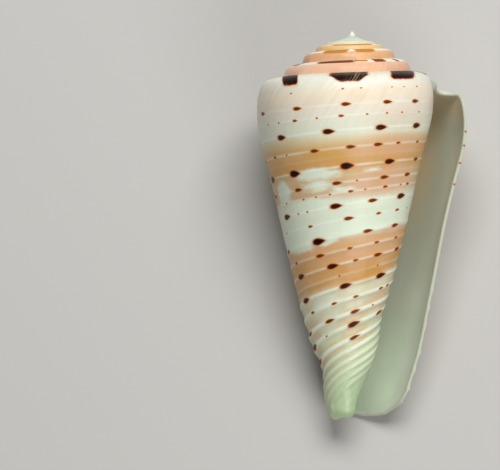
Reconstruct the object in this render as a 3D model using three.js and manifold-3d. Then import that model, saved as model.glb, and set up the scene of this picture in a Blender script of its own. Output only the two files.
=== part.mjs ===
// A cone shell lying on its back with the aperture up, in millimetres, +Z up.
// The spire points along +Y and the outer lip is on the +X side. The shell is one piece.
// Each whorl is the whorl before it, turned and enlarged by one fixed ratio about the apex, so the
// spire's steps, the spiral cords and the body whorl all come from one profile and one law of growth.
import * as THREE from "three";
import Module from "manifold-3d";

const DEGREE = Math.PI / 180;
const TURN = 2 * Math.PI;

// Growth: a whorl is this many times as large as the one before it, measured from the apex.
const WHORL_RATIO = 1.37;
const SPIRE_WHORLS = 5;

// Distance from the apex to the end of the columella, and to the rim around the front opening,
// which has a shallow notch for the siphon on the back of the shell.
const SHELL_LENGTH = 65.8;
const COLUMELLA_DOME = 2.4;
const COLUMELLA_BLEND = 25 * DEGREE;
const RIM_LENGTH = 65.2;
const SIPHON_NOTCH = { depth: 0.95, lean: 1.8 };

// The profile at the outer lip, from the suture over the shoulder to the front end:
// distance below the apex, radius, and what the last stretch of growth adds to both at the lip.
const PROFILE = [
  { depth: 9.2, radius: 13.58, lipDrop: -1.1, lipFlare: 0.0 },
  { depth: 9.3, radius: 14.6, lipDrop: 0.5, lipFlare: 0.0 },
  { depth: 9.5, radius: 15.6, lipDrop: 1.0, lipFlare: 0.0 },
  { depth: 9.9, radius: 17.0, lipDrop: 0.75, lipFlare: 0.25 },
  { depth: 10.8, radius: 18.0, lipDrop: -0.05, lipFlare: 0.8 },
  { depth: 12.6, radius: 18.6, lipDrop: -0.2, lipFlare: 0.6 },
  { depth: 15.7, radius: 18.9, lipDrop: 0.0, lipFlare: 0.65 },
  { depth: 20.2, radius: 18.5, lipDrop: 0.0, lipFlare: 0.6 },
  { depth: 26.0, radius: 17.1, lipDrop: 0.0, lipFlare: 0.5 },
  { depth: 32.8, radius: 15.4, lipDrop: 0.0, lipFlare: 0.6 },
  { depth: 40.4, radius: 13.7, lipDrop: 0.0, lipFlare: 0.8 },
  { depth: 47.8, radius: 11.9, lipDrop: 0.0, lipFlare: 1.15 },
  { depth: 54.1, radius: 10.35, lipDrop: 0.0, lipFlare: 1.4 },
  { depth: 60.9, radius: 8.3, lipDrop: 0.0, lipFlare: 1.4 },
  { depth: 66.3, radius: 6.7, lipDrop: 0.0, lipFlare: 1.3 },
  { depth: 73.6, radius: 5.5, lipDrop: 0.0, lipFlare: 1.2 },
  { depth: 80.6, radius: 3.4, lipDrop: 0.0, lipFlare: 1.0 },
  { depth: 85.6, radius: 1.9, lipDrop: 0.0, lipFlare: 1.0 },
  { depth: 92.0, radius: 1.1, lipDrop: 0.0, lipFlare: 1.0 },
  { depth: 108.0, radius: 0.9, lipDrop: 0.0, lipFlare: 1.0 },
];
const SHOULDER = 5;
const LIP_JOIN = 4.3;
const LIP_DROP_SPAN = 40 * DEGREE;
const LIP_FLARE_SPAN = 50 * DEGREE;

// Spiral cords: distance below the apex where each one meets the lip's profile, and its height.
const CORDS = [
  { depth: 44.4, height: 0.1 },
  { depth: 47.3, height: 0.12 },
  { depth: 50.1, height: 0.14 },
  { depth: 54.9, height: 0.17 },
  { depth: 57.8, height: 0.2 },
  { depth: 60.9, height: 0.22 },
  { depth: 63.5, height: 0.24 },
  { depth: 66.4, height: 0.25 },
  { depth: 68.6, height: 0.25 },
  { depth: 70.7, height: 0.24 },
  { depth: 72.6, height: 0.22 },
  { depth: 74.5, height: 0.19 },
  { depth: 76.3, height: 0.14 },
];
const CORD_HALF_WIDTH = 0.85;
const CORDS_FADE_INSIDE = 30 * DEGREE;

// The wall of the last whorl: thin at the lip, thicker further in, and thickest in its roof.
const LIP_THICKNESS = 0.6;
const WALL_THICKNESS = 1.2;
const WALL_THICKENS_OVER = 70 * DEGREE;
const ROOF_THICKNESS = 1.3;

// The aperture runs this far back under the last whorl and narrows towards its end.
const APERTURE_SWEEP = 170 * DEGREE;
const APERTURE_NARROWS_FROM = 125 * DEGREE;
const APERTURE_END_OPENING = 0.3;
const APERTURE_CLEARANCE = 0.25;

// How far the edge of the lip is set back: at the notch by the suture, and around the front
// corner, between two distances below the apex.
const NOTCH_SETBACK = 12 * DEGREE;
const CORNER_SETBACK = 55 * DEGREE;
const CORNER = { from: 60.0, to: 68.4, curve: 2.5 };
const SETBACK_SPAN = 90 * DEGREE;

// Opposite the lip the front end narrows to the tip of the columella.
const TIP_NARROWING = { by: 1.0, from: 53.0, over: 6.0, middle: -165 * DEGREE, reach: 120 * DEGREE };

// The columella's tip leans away from the aperture, and the lip stays where it is.
const TIP_LEAN = { by: 0.65, from: 54.0, over: 9.0, radius: 4.0, fade: 4.0 };

// The early whorls stand up a little higher than the law of growth puts them, and the first of
// them are narrow, which makes the apex a small nipple.
const EARLY_RISE = { height: 0.62, depth: 3.6, width: 1.6 };
const EARLY_NARROWING = { share: 0.15, over: 2.4 };

// It lies on its back: the side slopes to the axis by this angle, and is worn flat where it rests.
const SIDE_SLOPE = 13.5 * DEGREE;
const FLAT_SPOT_DEPTH = 0.7;

// Facets: columns around a whorl, rows of its shoulder, and rows down its side.
const COLUMNS = 40;
const SIDE_ROWS = 7;
const FRONT_ROWS = 3;
const SIDE_ENDS = 99.0;
const CURVE_SAMPLES = 760;
const SHORTEST_EDGE = 0.1;
const NORMAL_STEP = 0.06;

// Rings of the two rounded ends: each ring's size next to the first one, and its rise to the tip.
const COLUMELLA_RINGS = [
  { scale: 0.93, rise: 0.45 },
  { scale: 0.74, rise: 0.8 },
  { scale: 0.42, rise: 0.97 },
];
const APEX_RINGS = [
  { scale: 0.6, rise: 0.42 },
  { scale: 0.25, rise: 0.8 },
];

const clamp01 = (x) => Math.min(1, Math.max(0, x));
const mix = (a, b, t) => a + (b - a) * t;
const smooth = (x) => {
  const t = clamp01(x);
  return t * t * (3 - 2 * t);
};
const range = (from, to) => {
  const step = Math.sign(to - from);
  return Array.from({ length: Math.abs(to - from) + 1 }, (_, k) => from + step * k);
};

// Size of the shell at a growth angle: 0 at the lip, negative further back.
const growth = (angle) => Math.pow(WHORL_RATIO, angle / TURN);

// Rows down the side, by their distance below the apex on the lip's profile:
// evenly spaced to the first cord, then the foot, crest and foot of every cord, and the front.
function makeSideRows() {
  const start = PROFILE[SHOULDER].depth + ROOF_THICKNESS;
  const corded = CORDS[0].depth - CORD_HALF_WIDTH;
  const rows = range(0, SIDE_ROWS - 1).map((k) => mix(start, corded, k / SIDE_ROWS));
  CORDS.forEach(({ depth }) => {
    rows.push(depth - CORD_HALF_WIDTH, depth, depth + CORD_HALF_WIDTH);
  });
  const last = rows.at(-1);
  range(1, FRONT_ROWS).forEach((k) => rows.push(mix(last, SIDE_ENDS, k / FRONT_ROWS)));
  return rows;
}

const SIDE = makeSideRows();
const ROOF_ROW = SHOULDER + 1;
const LAST_ROW = SHOULDER + SIDE.length + 1;
const APERTURE_COLUMNS = Math.round((APERTURE_SWEEP / TURN) * COLUMNS);
const FIRST_COLUMN = -COLUMNS * (SPIRE_WHORLS + 1);

// Height of the cords at a distance below the apex on the lip's profile.
function cordHeight(depthAtLip) {
  return CORDS.reduce(
    (sum, { depth, height }) =>
      sum + height * smooth(1 - Math.abs(depthAtLip - depth) / CORD_HALF_WIDTH),
    0,
  );
}

// Distance below the apex of the front end of the wall, around the shell.
function frontDepth(angle) {
  const around = clamp01(-angle / APERTURE_SWEEP) ** SIPHON_NOTCH.lean;
  const rim = RIM_LENGTH - SIPHON_NOTCH.depth * Math.sin(Math.PI * around) ** 2;
  const columella = smooth((-angle - APERTURE_SWEEP) / COLUMELLA_BLEND);
  return mix(rim, SHELL_LENGTH - COLUMELLA_DOME, columella);
}

// The profile at one growth angle, finely sampled, x being the distance below the apex and y the
// radius, with the place of the next whorl's suture along it.
class Profile {
  constructor(angle) {
    this.angle = angle;
    this.size = growth(angle);
    this.front = frontDepth(angle);
    const drop = smooth(1 + angle / LIP_DROP_SPAN);
    const flare = clamp01(1 + angle / LIP_FLARE_SPAN) ** 2;
    const points = PROFILE.map(
      ({ depth, radius, lipDrop, lipFlare }) =>
        new THREE.Vector2(
          this.size * depth + drop * lipDrop,
          this.size * radius + flare * lipFlare,
        ),
    );
    this.samples = new THREE.SplineCurve(points).getPoints(CURVE_SAMPLES);
    this.join = mix(SHOULDER, LIP_JOIN, smooth(1 - Math.abs(angle + TURN) / LIP_DROP_SPAN));
  }

  // The point at a place along the profile, counted in the profile's own points.
  at(place) {
    const along = clamp01(place / (PROFILE.length - 1)) * CURVE_SAMPLES;
    const low = Math.min(Math.floor(along), CURVE_SAMPLES - 1);
    const point = this.samples[low].clone().lerp(this.samples[low + 1], along - low);
    point.y -= tipNarrowing(point.x, this.angle);
    return point;
  }

  placeOfDepth(depth) {
    let low = this.join;
    let high = PROFILE.length - 1;
    for (let step = 0; step < 30; step += 1) {
      const middle = (low + high) / 2;
      if (this.at(middle).x < depth) low = middle;
      else high = middle;
    }
    return low;
  }

  // Place along the profile of a row. Rows past the front end stop there.
  placeOfRow(row) {
    if (row <= SHOULDER) return (this.join * row) / SHOULDER;
    return this.placeOfDepth(this.endsBefore(row) ? this.front : this.size * SIDE[row - ROOF_ROW]);
  }

  endsBefore(row) {
    return row >= LAST_ROW || this.size * SIDE[row - ROOF_ROW] > this.front - SHORTEST_EDGE;
  }

  // The point at a row, moved inwards by inset along the profile's normal.
  section(row, inset) {
    const place = this.placeOfRow(row);
    const point = this.at(place);
    const ahead = this.at(place + NORMAL_STEP);
    const along = ahead.sub(this.at(place - NORMAL_STEP)).normalize();
    return new THREE.Vector2(point.x + along.y * inset, point.y - along.x * inset);
  }
}

function tipNarrowing(depth, angle) {
  const { by, from, over, middle, reach } = TIP_NARROWING;
  const around = smooth(1 - Math.abs(angle - middle) / reach);
  return by * around * smooth((depth - from) / over);
}

// Growth angle of a grid point: columns near the lip lean back to follow its edge.
function angleOf(index, row) {
  const angle = (index / COLUMNS) * TURN;
  const notch = row <= SHOULDER ? NOTCH_SETBACK * Math.sin((Math.PI * row) / SHOULDER) : 0;
  const depth = row > SHOULDER ? SIDE[Math.min(row - ROOF_ROW, SIDE.length - 1)] : 0;
  const corner = clamp01((depth - CORNER.from) / (CORNER.to - CORNER.from)) ** CORNER.curve;
  const share = smooth(1 + angle / SETBACK_SPAN);
  return angle - share * (notch + CORNER_SETBACK * corner);
}

const profiles = new Map();
function profileOf(index, row) {
  const angle = angleOf(index, row);
  if (!profiles.has(angle)) profiles.set(angle, new Profile(angle));
  return profiles.get(angle);
}

// A point by radius, distance below the apex and growth angle, with the axis upright.
function placePoint(radius, depth, angle) {
  const early = Math.exp(-(((depth - EARLY_RISE.depth) / EARLY_RISE.width) ** 2));
  const width = radius * mix(EARLY_NARROWING.share, 1, smooth(depth / EARLY_NARROWING.over));
  const inside = 1 - smooth((radius - TIP_LEAN.radius) / TIP_LEAN.fade);
  const lean = TIP_LEAN.by * inside * smooth((depth - TIP_LEAN.from) / TIP_LEAN.over);
  return new THREE.Vector3(
    width * Math.cos(-angle) - lean,
    width * Math.sin(-angle),
    EARLY_RISE.height * early - depth,
  );
}

// Outer surface of a whorl, cords included. They fade on the part that the aperture hides.
function outerPoint(index, row) {
  const profile = profileOf(index, row);
  const section = profile.section(row, 0);
  const shown = 1 - smooth((-profile.angle - TURN) / CORDS_FADE_INSIDE);
  const cords = cordHeight(section.x / profile.size) * shown;
  return placePoint(section.y + cords, section.x, profile.angle);
}

// Inner face of the last whorl's wall. Towards the aperture's end it nears the whorl inside it.
function innerPoint(index, row) {
  const profile = profileOf(index, row);
  const facing = profileOf(index - COLUMNS, row);
  const inside = facing.section(ROOF_ROW, 0);
  const deepIn = smooth(-profile.angle / WALL_THICKENS_OVER);
  const section = profile.section(row, mix(LIP_THICKNESS, WALL_THICKNESS, deepIn));
  if (row <= ROOF_ROW) {
    section.x = Math.max(section.x, inside.x);
    section.y = Math.max(section.y, inside.y + APERTURE_CLEARANCE * row);
  }
  section.x = Math.min(section.x, profile.front);
  const narrows = APERTURE_SWEEP - APERTURE_NARROWS_FROM;
  const narrowing = smooth((-profile.angle - APERTURE_NARROWS_FROM) / narrows);
  const across = facing.at(facing.placeOfDepth(section.x));
  section.lerp(row <= ROOF_ROW ? inside : across, (1 - APERTURE_END_OPENING) * narrowing);
  return placePoint(section.y, section.x, profile.angle);
}

// The solid's surface: points shared between neighbouring facets, and the facets.
class Surface {
  constructor() {
    this.positions = [];
    this.known = new Map();
    this.triangles = [];
  }

  point(key, make) {
    if (!this.known.has(key)) {
      this.known.set(key, this.positions.length / 3);
      this.positions.push(...make().toArray());
    }
    return this.known.get(key);
  }

  ends(index, row) {
    return row >= ROOF_ROW && profileOf(index, row).endsBefore(row);
  }

  outer(index, row) {
    if (row === 0 && index - COLUMNS >= FIRST_COLUMN) return this.outer(index - COLUMNS, SHOULDER);
    if (row < LAST_ROW && this.ends(index, row)) return this.outer(index, LAST_ROW);
    return this.point(`outer ${index} ${row}`, () => outerPoint(index, row));
  }

  inner(index, row) {
    if (row === 0) return this.outer(index - COLUMNS, ROOF_ROW);
    if (row < LAST_ROW && this.ends(index, row)) return this.inner(index, LAST_ROW);
    return this.point(`inner ${index} ${row}`, () => innerPoint(index, row));
  }

  triangle(a, b, c) {
    if (a !== b && b !== c && c !== a) this.triangles.push(a, b, c);
  }

  quad(a, b, c, d) {
    this.triangle(a, b, c);
    this.triangle(a, c, d);
  }

  // Closes the gap between two lines of points that run side by side.
  zip(left, right) {
    let i = 0;
    let j = 0;
    while (i < left.length - 1 || j < right.length - 1) {
      if ((i + 1) / (left.length - 1) <= (j + 1) / (right.length - 1)) {
        this.triangle(left[i], left[i + 1], right[j]);
        i += 1;
      } else {
        this.triangle(left[i], right[j + 1], right[j]);
        j += 1;
      }
    }
  }

  // Closes a loop of points with rings that shrink and rise to a tip.
  dome(name, loop, tip, rings) {
    let ring = loop;
    rings.forEach(({ scale, rise }, number) => {
      const next = loop.map((id, place) =>
        this.point(`${name} ${number} ${place}`, () => {
          const from = new THREE.Vector3().fromArray(this.positions, id * 3);
          return from.clone().lerp(tip, 1 - scale).setZ(mix(from.z, tip.z, rise));
        }),
      );
      ring.forEach((id, place) => {
        const after = (place + 1) % ring.length;
        this.quad(id, ring[after], next[after], next[place]);
      });
      ring = next;
    });
    const centre = this.point(name, () => tip);
    ring.forEach((id, place) => this.triangle(id, ring[(place + 1) % ring.length], centre));
  }

  // Middle of a loop of points, moved to a height.
  middle(loop, z) {
    const sum = new THREE.Vector3();
    loop.forEach((id) => sum.add(new THREE.Vector3().fromArray(this.positions, id * 3)));
    return sum.divideScalar(loop.length).setZ(z);
  }
}

function addWhorls(surface) {
  for (let index = FIRST_COLUMN; index < 0; index += 1) {
    const rows = index < -COLUMNS ? SHOULDER : LAST_ROW;
    for (let row = 0; row < rows; row += 1)
      surface.quad(
        surface.outer(index, row),
        surface.outer(index + 1, row),
        surface.outer(index + 1, row + 1),
        surface.outer(index, row + 1),
      );
  }
}

function addAperture(surface) {
  for (let index = -APERTURE_COLUMNS; index < 0; index += 1) {
    const facing = index - COLUMNS;
    for (let row = 0; row < LAST_ROW; row += 1)
      surface.quad(
        surface.inner(index, row),
        surface.inner(index, row + 1),
        surface.inner(index + 1, row + 1),
        surface.inner(index + 1, row),
      );
    for (let row = ROOF_ROW; row < LAST_ROW; row += 1)
      surface.quad(
        surface.outer(facing, row),
        surface.outer(facing + 1, row),
        surface.outer(facing + 1, row + 1),
        surface.outer(facing, row + 1),
      );
    surface.quad(
      surface.outer(index, LAST_ROW),
      surface.outer(index + 1, LAST_ROW),
      surface.inner(index + 1, LAST_ROW),
      surface.inner(index, LAST_ROW),
    );
  }
}

function addLip(surface) {
  for (let row = 0; row < LAST_ROW; row += 1)
    surface.quad(
      surface.outer(0, row),
      surface.inner(0, row),
      surface.inner(0, row + 1),
      surface.outer(0, row + 1),
    );
}

const withoutRepeats = (line) => line.filter((id, place) => id !== line[place - 1]);

function addApertureEnd(surface) {
  const end = -APERTURE_COLUMNS;
  const wall = range(1, LAST_ROW).map((row) => surface.inner(end, row));
  const facing = range(ROOF_ROW, LAST_ROW).map((row) => surface.outer(end - COLUMNS, row));
  surface.zip(withoutRepeats(facing), withoutRepeats(wall));
}

function addColumellaTip(surface) {
  const end = -APERTURE_COLUMNS;
  const loop = range(end - COLUMNS, end).map((index) => surface.outer(index, LAST_ROW));
  loop.push(surface.inner(end, LAST_ROW));
  surface.dome("columella", loop, surface.middle(loop, -SHELL_LENGTH), COLUMELLA_RINGS);
}

function addApex(surface) {
  const first = range(FIRST_COLUMN, FIRST_COLUMN + COLUMNS).map((index) => surface.outer(index, 0));
  const step = range(SHOULDER - 1, 1).map((row) => surface.outer(FIRST_COLUMN, row));
  surface.dome("apex", [...first, ...step].reverse(), new THREE.Vector3(), APEX_RINGS);
}

// Lays the shell on its back, and puts the middle of its footprint over the origin.
function layDown(geometry) {
  geometry.rotateX(-90 * DEGREE + SIDE_SLOPE);
  geometry.computeBoundingBox();
  const { min, max } = geometry.boundingBox;
  return geometry.translate(
    -(min.x + max.x) / 2,
    -(min.y + max.y) / 2,
    -min.z - FLAT_SPOT_DEPTH,
  );
}

// Cuts away what lies below the floor, which leaves the flat spot.
async function wearFlat(geometry) {
  const wasm = await Module();
  wasm.setup();
  const solid = new wasm.Manifold(
    new wasm.Mesh({
      numProp: 3,
      vertProperties: geometry.attributes.position.array,
      triVerts: Uint32Array.from(geometry.index.array),
    }),
  );
  const { vertProperties, triVerts } = solid.trimByPlane([0, 0, 1], 0).getMesh();
  return new THREE.BufferGeometry()
    .setAttribute("position", new THREE.BufferAttribute(vertProperties, 3))
    .setIndex(new THREE.BufferAttribute(triVerts, 1));
}

function makeShell() {
  const surface = new Surface();
  addWhorls(surface);
  addAperture(surface);
  addLip(surface);
  addApertureEnd(surface);
  addColumellaTip(surface);
  addApex(surface);
  return new THREE.BufferGeometry()
    .setAttribute("position", new THREE.Float32BufferAttribute(surface.positions, 3))
    .setIndex(surface.triangles);
}

const shell = new THREE.Mesh(
  await wearFlat(layDown(makeShell())),
  new THREE.MeshStandardMaterial({ color: 0xf1e9d8, roughness: 0.3, metalness: 0.0 }),
);
shell.name = "shell";

const part = new THREE.Group();
part.add(shell);

export default part;
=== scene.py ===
"""An aurisiacus cone shell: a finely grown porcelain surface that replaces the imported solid.

The shell lies on its back on the floor, with the spire towards +Y, the aperture up and the
outer lip on +X. The form is worked out in millimetres and handed to Blender in metres.
A growth angle is 0 degrees at the lip and negative further back in time.
"""

import logging
import math
from dataclasses import dataclass, field
from enum import Enum

import bpy
import numpy as np
from mathutils import Matrix, Vector


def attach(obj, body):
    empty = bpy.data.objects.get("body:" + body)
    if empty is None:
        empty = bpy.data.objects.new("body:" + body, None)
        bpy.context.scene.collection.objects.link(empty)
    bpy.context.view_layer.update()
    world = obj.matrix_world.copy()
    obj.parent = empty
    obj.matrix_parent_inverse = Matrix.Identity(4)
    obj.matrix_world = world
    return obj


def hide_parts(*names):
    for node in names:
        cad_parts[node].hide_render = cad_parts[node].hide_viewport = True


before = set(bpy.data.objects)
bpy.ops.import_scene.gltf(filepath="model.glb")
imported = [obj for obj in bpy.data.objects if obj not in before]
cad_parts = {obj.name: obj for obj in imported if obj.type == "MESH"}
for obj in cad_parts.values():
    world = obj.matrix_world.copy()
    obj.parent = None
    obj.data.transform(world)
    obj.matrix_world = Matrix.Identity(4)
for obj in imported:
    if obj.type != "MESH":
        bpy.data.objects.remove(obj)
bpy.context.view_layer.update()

LOG = logging.getLogger("cone_shell")
MM = 0.001
TURN = 360.0
# An offset that is outside every dash and thread.
FAR_AWAY = 9.0
# Lip depths between which the side's relief and streaks grow into those of the shoulder.
SHOULDER_FADE = (23.0, 15.0)


def smooth(value: np.ndarray | float) -> np.ndarray | float:
    """Eases a value from 0 to 1, level at both ends."""
    part = np.clip(value, 0.0, 1.0)
    return part * part * (3.0 - 2.0 * part)


def mix(first: np.ndarray, second: np.ndarray, share: np.ndarray | float) -> np.ndarray:
    """Goes from the first value to the second as share goes from 0 to 1."""
    return first + (second - first) * share


def paint(code: str) -> tuple[float, float, float, float]:
    """Turns a six-digit display colour into Blender's linear colour.

    Args:
        code: The colour as six hexadecimal digits.

    Returns:
        The linear red, green, blue and an alpha of 1.
    """
    parts = [int(code[place : place + 2], 16) / 255 for place in (0, 2, 4)]
    linear = [c / 12.92 if c <= 0.04045 else ((c + 0.055) / 1.055) ** 2.4 for c in parts]
    return (linear[0], linear[1], linear[2], 1.0)


class MarkKind(Enum):
    """What a marking looks like: its squareness and its tone, 0 dark brown, 1 rust and 2 ochre.

    A squareness of 2 is a wedge: square, narrower below and worn at its older end.
    """

    BLOTCH = (1.0, 0.0)
    WEDGE = (2.0, 0.0)
    BROWN = (1.0, 0.3)
    OCHRE = (1.0, 2.0)


@dataclass(frozen=True)
class DashSize:
    """Half the length along the whorl and half the height of a dash, in millimetres.

    The tone goes from 0 for dark brown to 1 for ochre.
    """

    length: float
    height: float
    tone: float


GIANT = DashSize(1.05, 0.56, 0.0)
LARGE = DashSize(0.9, 0.43, 0.05)
MEDIUM = DashSize(0.72, 0.29, 0.3)
SMALL = DashSize(0.42, 0.2, 0.55)
TINY = DashSize(0.2, 0.14, 0.85)


@dataclass(frozen=True)
class SpiralRow:
    """One spiral thread or cord with its dashes.

    Dashes are given in whole degrees back from the lip, by size.
    """

    depth: float
    cord: float = 0.0
    crest: float = 0.5
    giant: tuple[int, ...] = ()
    large: tuple[int, ...] = ()
    medium: tuple[int, ...] = ()
    small: tuple[int, ...] = ()
    tiny: tuple[int, ...] = ()

    def dashes(self) -> list[tuple[int, DashSize]]:
        """Lists every dash of the row as degrees back from the lip and size."""
        sizes = (GIANT, LARGE, MEDIUM, SMALL, TINY)
        groups = (self.giant, self.large, self.medium, self.small, self.tiny)
        return [(angle, size) for size, group in zip(sizes, groups) for angle in group]


SPIRAL_ROWS = (
    SpiralRow(
        13.8, crest=0.15, tiny=(60, 80, 106, 112, 123, 138, 151, 157, 182, 227, 263, 275, 297, 307, 320)
    ),
    SpiralRow(17.1, crest=0.5, tiny=(0,), medium=(45, 82, 111, 151, 197, 232, 265, 293, 317)),
    SpiralRow(
        19.5,
        crest=0.45,
        small=(75, 118, 170, 230, 262),
        tiny=(0, 45, 93, 138, 153, 182, 204, 216, 246, 279, 293, 305, 322),
    ),
    SpiralRow(22.5, crest=0.6, large=(52, 92, 128, 171, 216, 253, 289, 321), tiny=(0, 355)),
    SpiralRow(
        26.1,
        crest=0.55,
        medium=(53, 86, 111, 146, 180, 242, 268, 288),
        small=(204, 305, 327, 355),
        tiny=(0, 218),
    ),
    SpiralRow(28.0, crest=0.1),
    SpiralRow(30.0, crest=0.7, giant=(37, 71, 104, 142, 189, 222, 265), large=(299,), medium=(331,)),
    SpiralRow(31.9, crest=0.1),
    SpiralRow(33.3, crest=0.5, medium=(43, 77, 105, 143, 186, 223, 257, 296, 322), tiny=(192, 273)),
    SpiralRow(
        35.4,
        crest=0.5,
        small=(71, 85, 143, 156, 268, 298, 325),
        tiny=(47, 112, 174, 206, 227, 239, 251, 280, 315),
    ),
    SpiralRow(38.0, crest=0.6, large=(46, 82, 114, 159, 202, 255, 318), medium=(287,), tiny=(219, 229)),
    SpiralRow(41.0, crest=0.5, medium=(103, 266), small=(47, 76, 143, 176, 230, 294, 316), tiny=(195, 334)),
    SpiralRow(44.4, cord=0.1, crest=0.5, giant=(236,), large=(50, 99, 142), medium=(188, 284, 316)),
    SpiralRow(47.3, cord=0.12, crest=0.5, medium=(68, 141, 236), small=(37, 101, 177, 202, 267, 295, 322)),
    SpiralRow(
        50.1, cord=0.14, crest=0.6, large=(205, 248), medium=(52, 96, 125, 169, 298, 329), small=(273,)
    ),
    SpiralRow(52.5, crest=0.25, tiny=(255, 300)),
    # From here down the cords' full crest white is partly a painted highlight for their glints.
    SpiralRow(54.9, cord=0.17, crest=1.0, large=(70, 115, 157, 204, 261, 306)),
    SpiralRow(57.8, cord=0.2, crest=0.9, small=(48, 83, 121, 150, 212, 246, 274, 311, 325, 355)),
    SpiralRow(60.9, cord=0.22, crest=1.0, medium=(62, 109, 147, 190, 236, 273, 355), tiny=(301,)),
    SpiralRow(63.5, cord=0.24, crest=1.0, large=(89, 136, 189, 271), medium=(320,), tiny=(227,)),
    SpiralRow(66.4, cord=0.25, crest=1.0, medium=(64, 119, 190, 273), small=(355,)),
    SpiralRow(68.6, cord=0.25, crest=1.0),
    SpiralRow(70.7, cord=0.24, crest=1.0),
    SpiralRow(72.6, cord=0.22, crest=1.0),
    SpiralRow(74.5, cord=0.19, crest=0.9),
    SpiralRow(76.3, cord=0.14, crest=0.7),
    SpiralRow(78.2, crest=0.6),
    SpiralRow(80.2, crest=0.6),
    SpiralRow(82.4, crest=0.6),
)


@dataclass(frozen=True)
class ShoulderMark:
    """A marking under the suture: its middle and half width in degrees back from the lip."""

    angle: float
    half_width: float
    low: float
    kind: MarkKind = MarkKind.BLOTCH
    high: float = 9.2


@dataclass(frozen=True)
class Cloud:
    """A soft patch of colour: its middle, half width in degrees and half height in millimetres."""

    angle: float
    depth: float
    half_width: float
    half_height: float
    strength: float = 1.0


PALE_CLOUDS = (
    Cloud(241, 30.2, 18.0, 1.1),
    Cloud(242, 32.6, 12.0, 1.3, 0.8),
    Cloud(205, 33.2, 9.0, 2.2),
    Cloud(262, 33.9, 12.0, 0.7, 0.7),
    Cloud(232, 36.9, 30.0, 1.6),
    Cloud(285, 37.4, 22.0, 1.0),
    Cloud(284, 30.3, 8.0, 0.5, 0.8),
    Cloud(214, 43.8, 24.0, 1.5),
    Cloud(244, 44.2, 10.0, 0.9),
    Cloud(234, 56.6, 18.0, 1.6),
    Cloud(160, 32.6, 16.0, 3.0),
    Cloud(122, 34.4, 13.0, 2.4),
    Cloud(150, 46.0, 15.0, 2.4),
    Cloud(88, 31.6, 13.0, 2.8),
    Cloud(100, 52.0, 12.0, 2.0),
    Cloud(56, 35.0, 12.0, 2.4),
    Cloud(62, 47.0, 10.0, 2.2),
    Cloud(130, 25.0, 9.0, 1.4),
)

BLUSH_CLOUDS = (
    Cloud(318, 44.0, 18.0, 0.9),
    Cloud(298, 33.0, 28.0, 3.2),
    Cloud(300, 25.4, 30.0, 2.6),
    Cloud(305, 20.0, 30.0, 3.0, 0.5),
    Cloud(285, 13.6, 26.0, 2.0, 0.4),
    Cloud(290, 48.0, 30.0, 3.0, 0.55),
    Cloud(166, 43.4, 16.0, 1.6),
    Cloud(112, 43.0, 14.0, 1.6),
    Cloud(134, 18.0, 14.0, 3.0, 0.5),
    Cloud(62, 18.0, 12.0, 3.0, 0.5),
)

SHOULDER_MARKS = (
    ShoulderMark(38, 6, 11.1),
    ShoulderMark(67, 7, 11.0, MarkKind.WEDGE),
    ShoulderMark(101.6, 6.4, 11.0),
    ShoulderMark(136.5, 6.6, 11.0),
    ShoulderMark(174, 6, 11.0),
    ShoulderMark(223, 8.2, 11.55),
    ShoulderMark(267, 14.5, 11.3, MarkKind.WEDGE),
    ShoulderMark(308.5, 12.2, 11.0),
    ShoulderMark(347, 4, 10.2),
    ShoulderMark(392, 6, 9.9),
    ShoulderMark(429, 5, 9.9),
    ShoulderMark(457, 4, 9.9),
    ShoulderMark(487, 4, 9.8, MarkKind.OCHRE),
    ShoulderMark(517, 6, 9.9),
    ShoulderMark(560, 7, 9.9),
    ShoulderMark(612, 20.5, 9.92, MarkKind.BROWN, 9.6),
    ShoulderMark(639, 7, 9.75, MarkKind.OCHRE, 9.55),
    ShoulderMark(660, 7.5, 9.92, MarkKind.BROWN, 9.6),
    ShoulderMark(686, 3.4, 9.92, MarkKind.BROWN, 9.6),
    ShoulderMark(720, 9, 9.9, MarkKind.OCHRE),
    ShoulderMark(775, 8, 9.9, MarkKind.OCHRE),
    ShoulderMark(803, 6, 9.8),
    ShoulderMark(826, 5, 9.8),
    ShoulderMark(853, 9, 9.8, MarkKind.OCHRE),
    ShoulderMark(900, 10, 10.0, MarkKind.OCHRE),
    ShoulderMark(965, 18, 10.3, MarkKind.OCHRE),
    ShoulderMark(1008, 15, 10.3, MarkKind.OCHRE),
    ShoulderMark(1100, 30, 10.1, MarkKind.OCHRE),
    ShoulderMark(1200, 34, 9.9, MarkKind.OCHRE),
    ShoulderMark(1350, 42, 10.2, MarkKind.OCHRE),
    ShoulderMark(1480, 50, 10.2, MarkKind.OCHRE),
)


@dataclass(frozen=True)
class Knot:
    """A point of the profile at the outer lip, and what the last growth adds to it there."""

    depth: float
    radius: float
    lip_drop: float = 0.0
    lip_flare: float = 0.0


PROFILE = (
    Knot(9.2, 13.58, -1.1, 0.0),
    Knot(9.3, 14.6, 0.5, 0.0),
    Knot(9.5, 15.6, 1.0, 0.0),
    Knot(9.9, 17.0, 0.75, 0.25),
    Knot(10.8, 18.0, -0.05, 0.8),
    Knot(12.6, 18.6, -0.2, 0.6),
    Knot(15.7, 18.9, 0.0, 0.65),
    Knot(20.2, 18.5, 0.0, 0.6),
    Knot(26.0, 17.1, 0.0, 0.5),
    Knot(32.8, 15.4, 0.0, 0.6),
    Knot(40.4, 13.7, 0.0, 0.8),
    Knot(47.8, 11.9, 0.0, 1.15),
    Knot(54.1, 10.35, 0.0, 1.4),
    Knot(60.9, 8.3, 0.0, 1.4),
    Knot(66.3, 6.7, 0.0, 1.3),
    Knot(73.6, 5.5, 0.0, 1.2),
    Knot(80.6, 3.4, 0.0, 1.0),
    Knot(85.6, 1.9, 0.0, 1.0),
    Knot(92.0, 1.1, 0.0, 1.0),
    Knot(108.0, 0.9, 0.0, 1.0),
)


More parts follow.
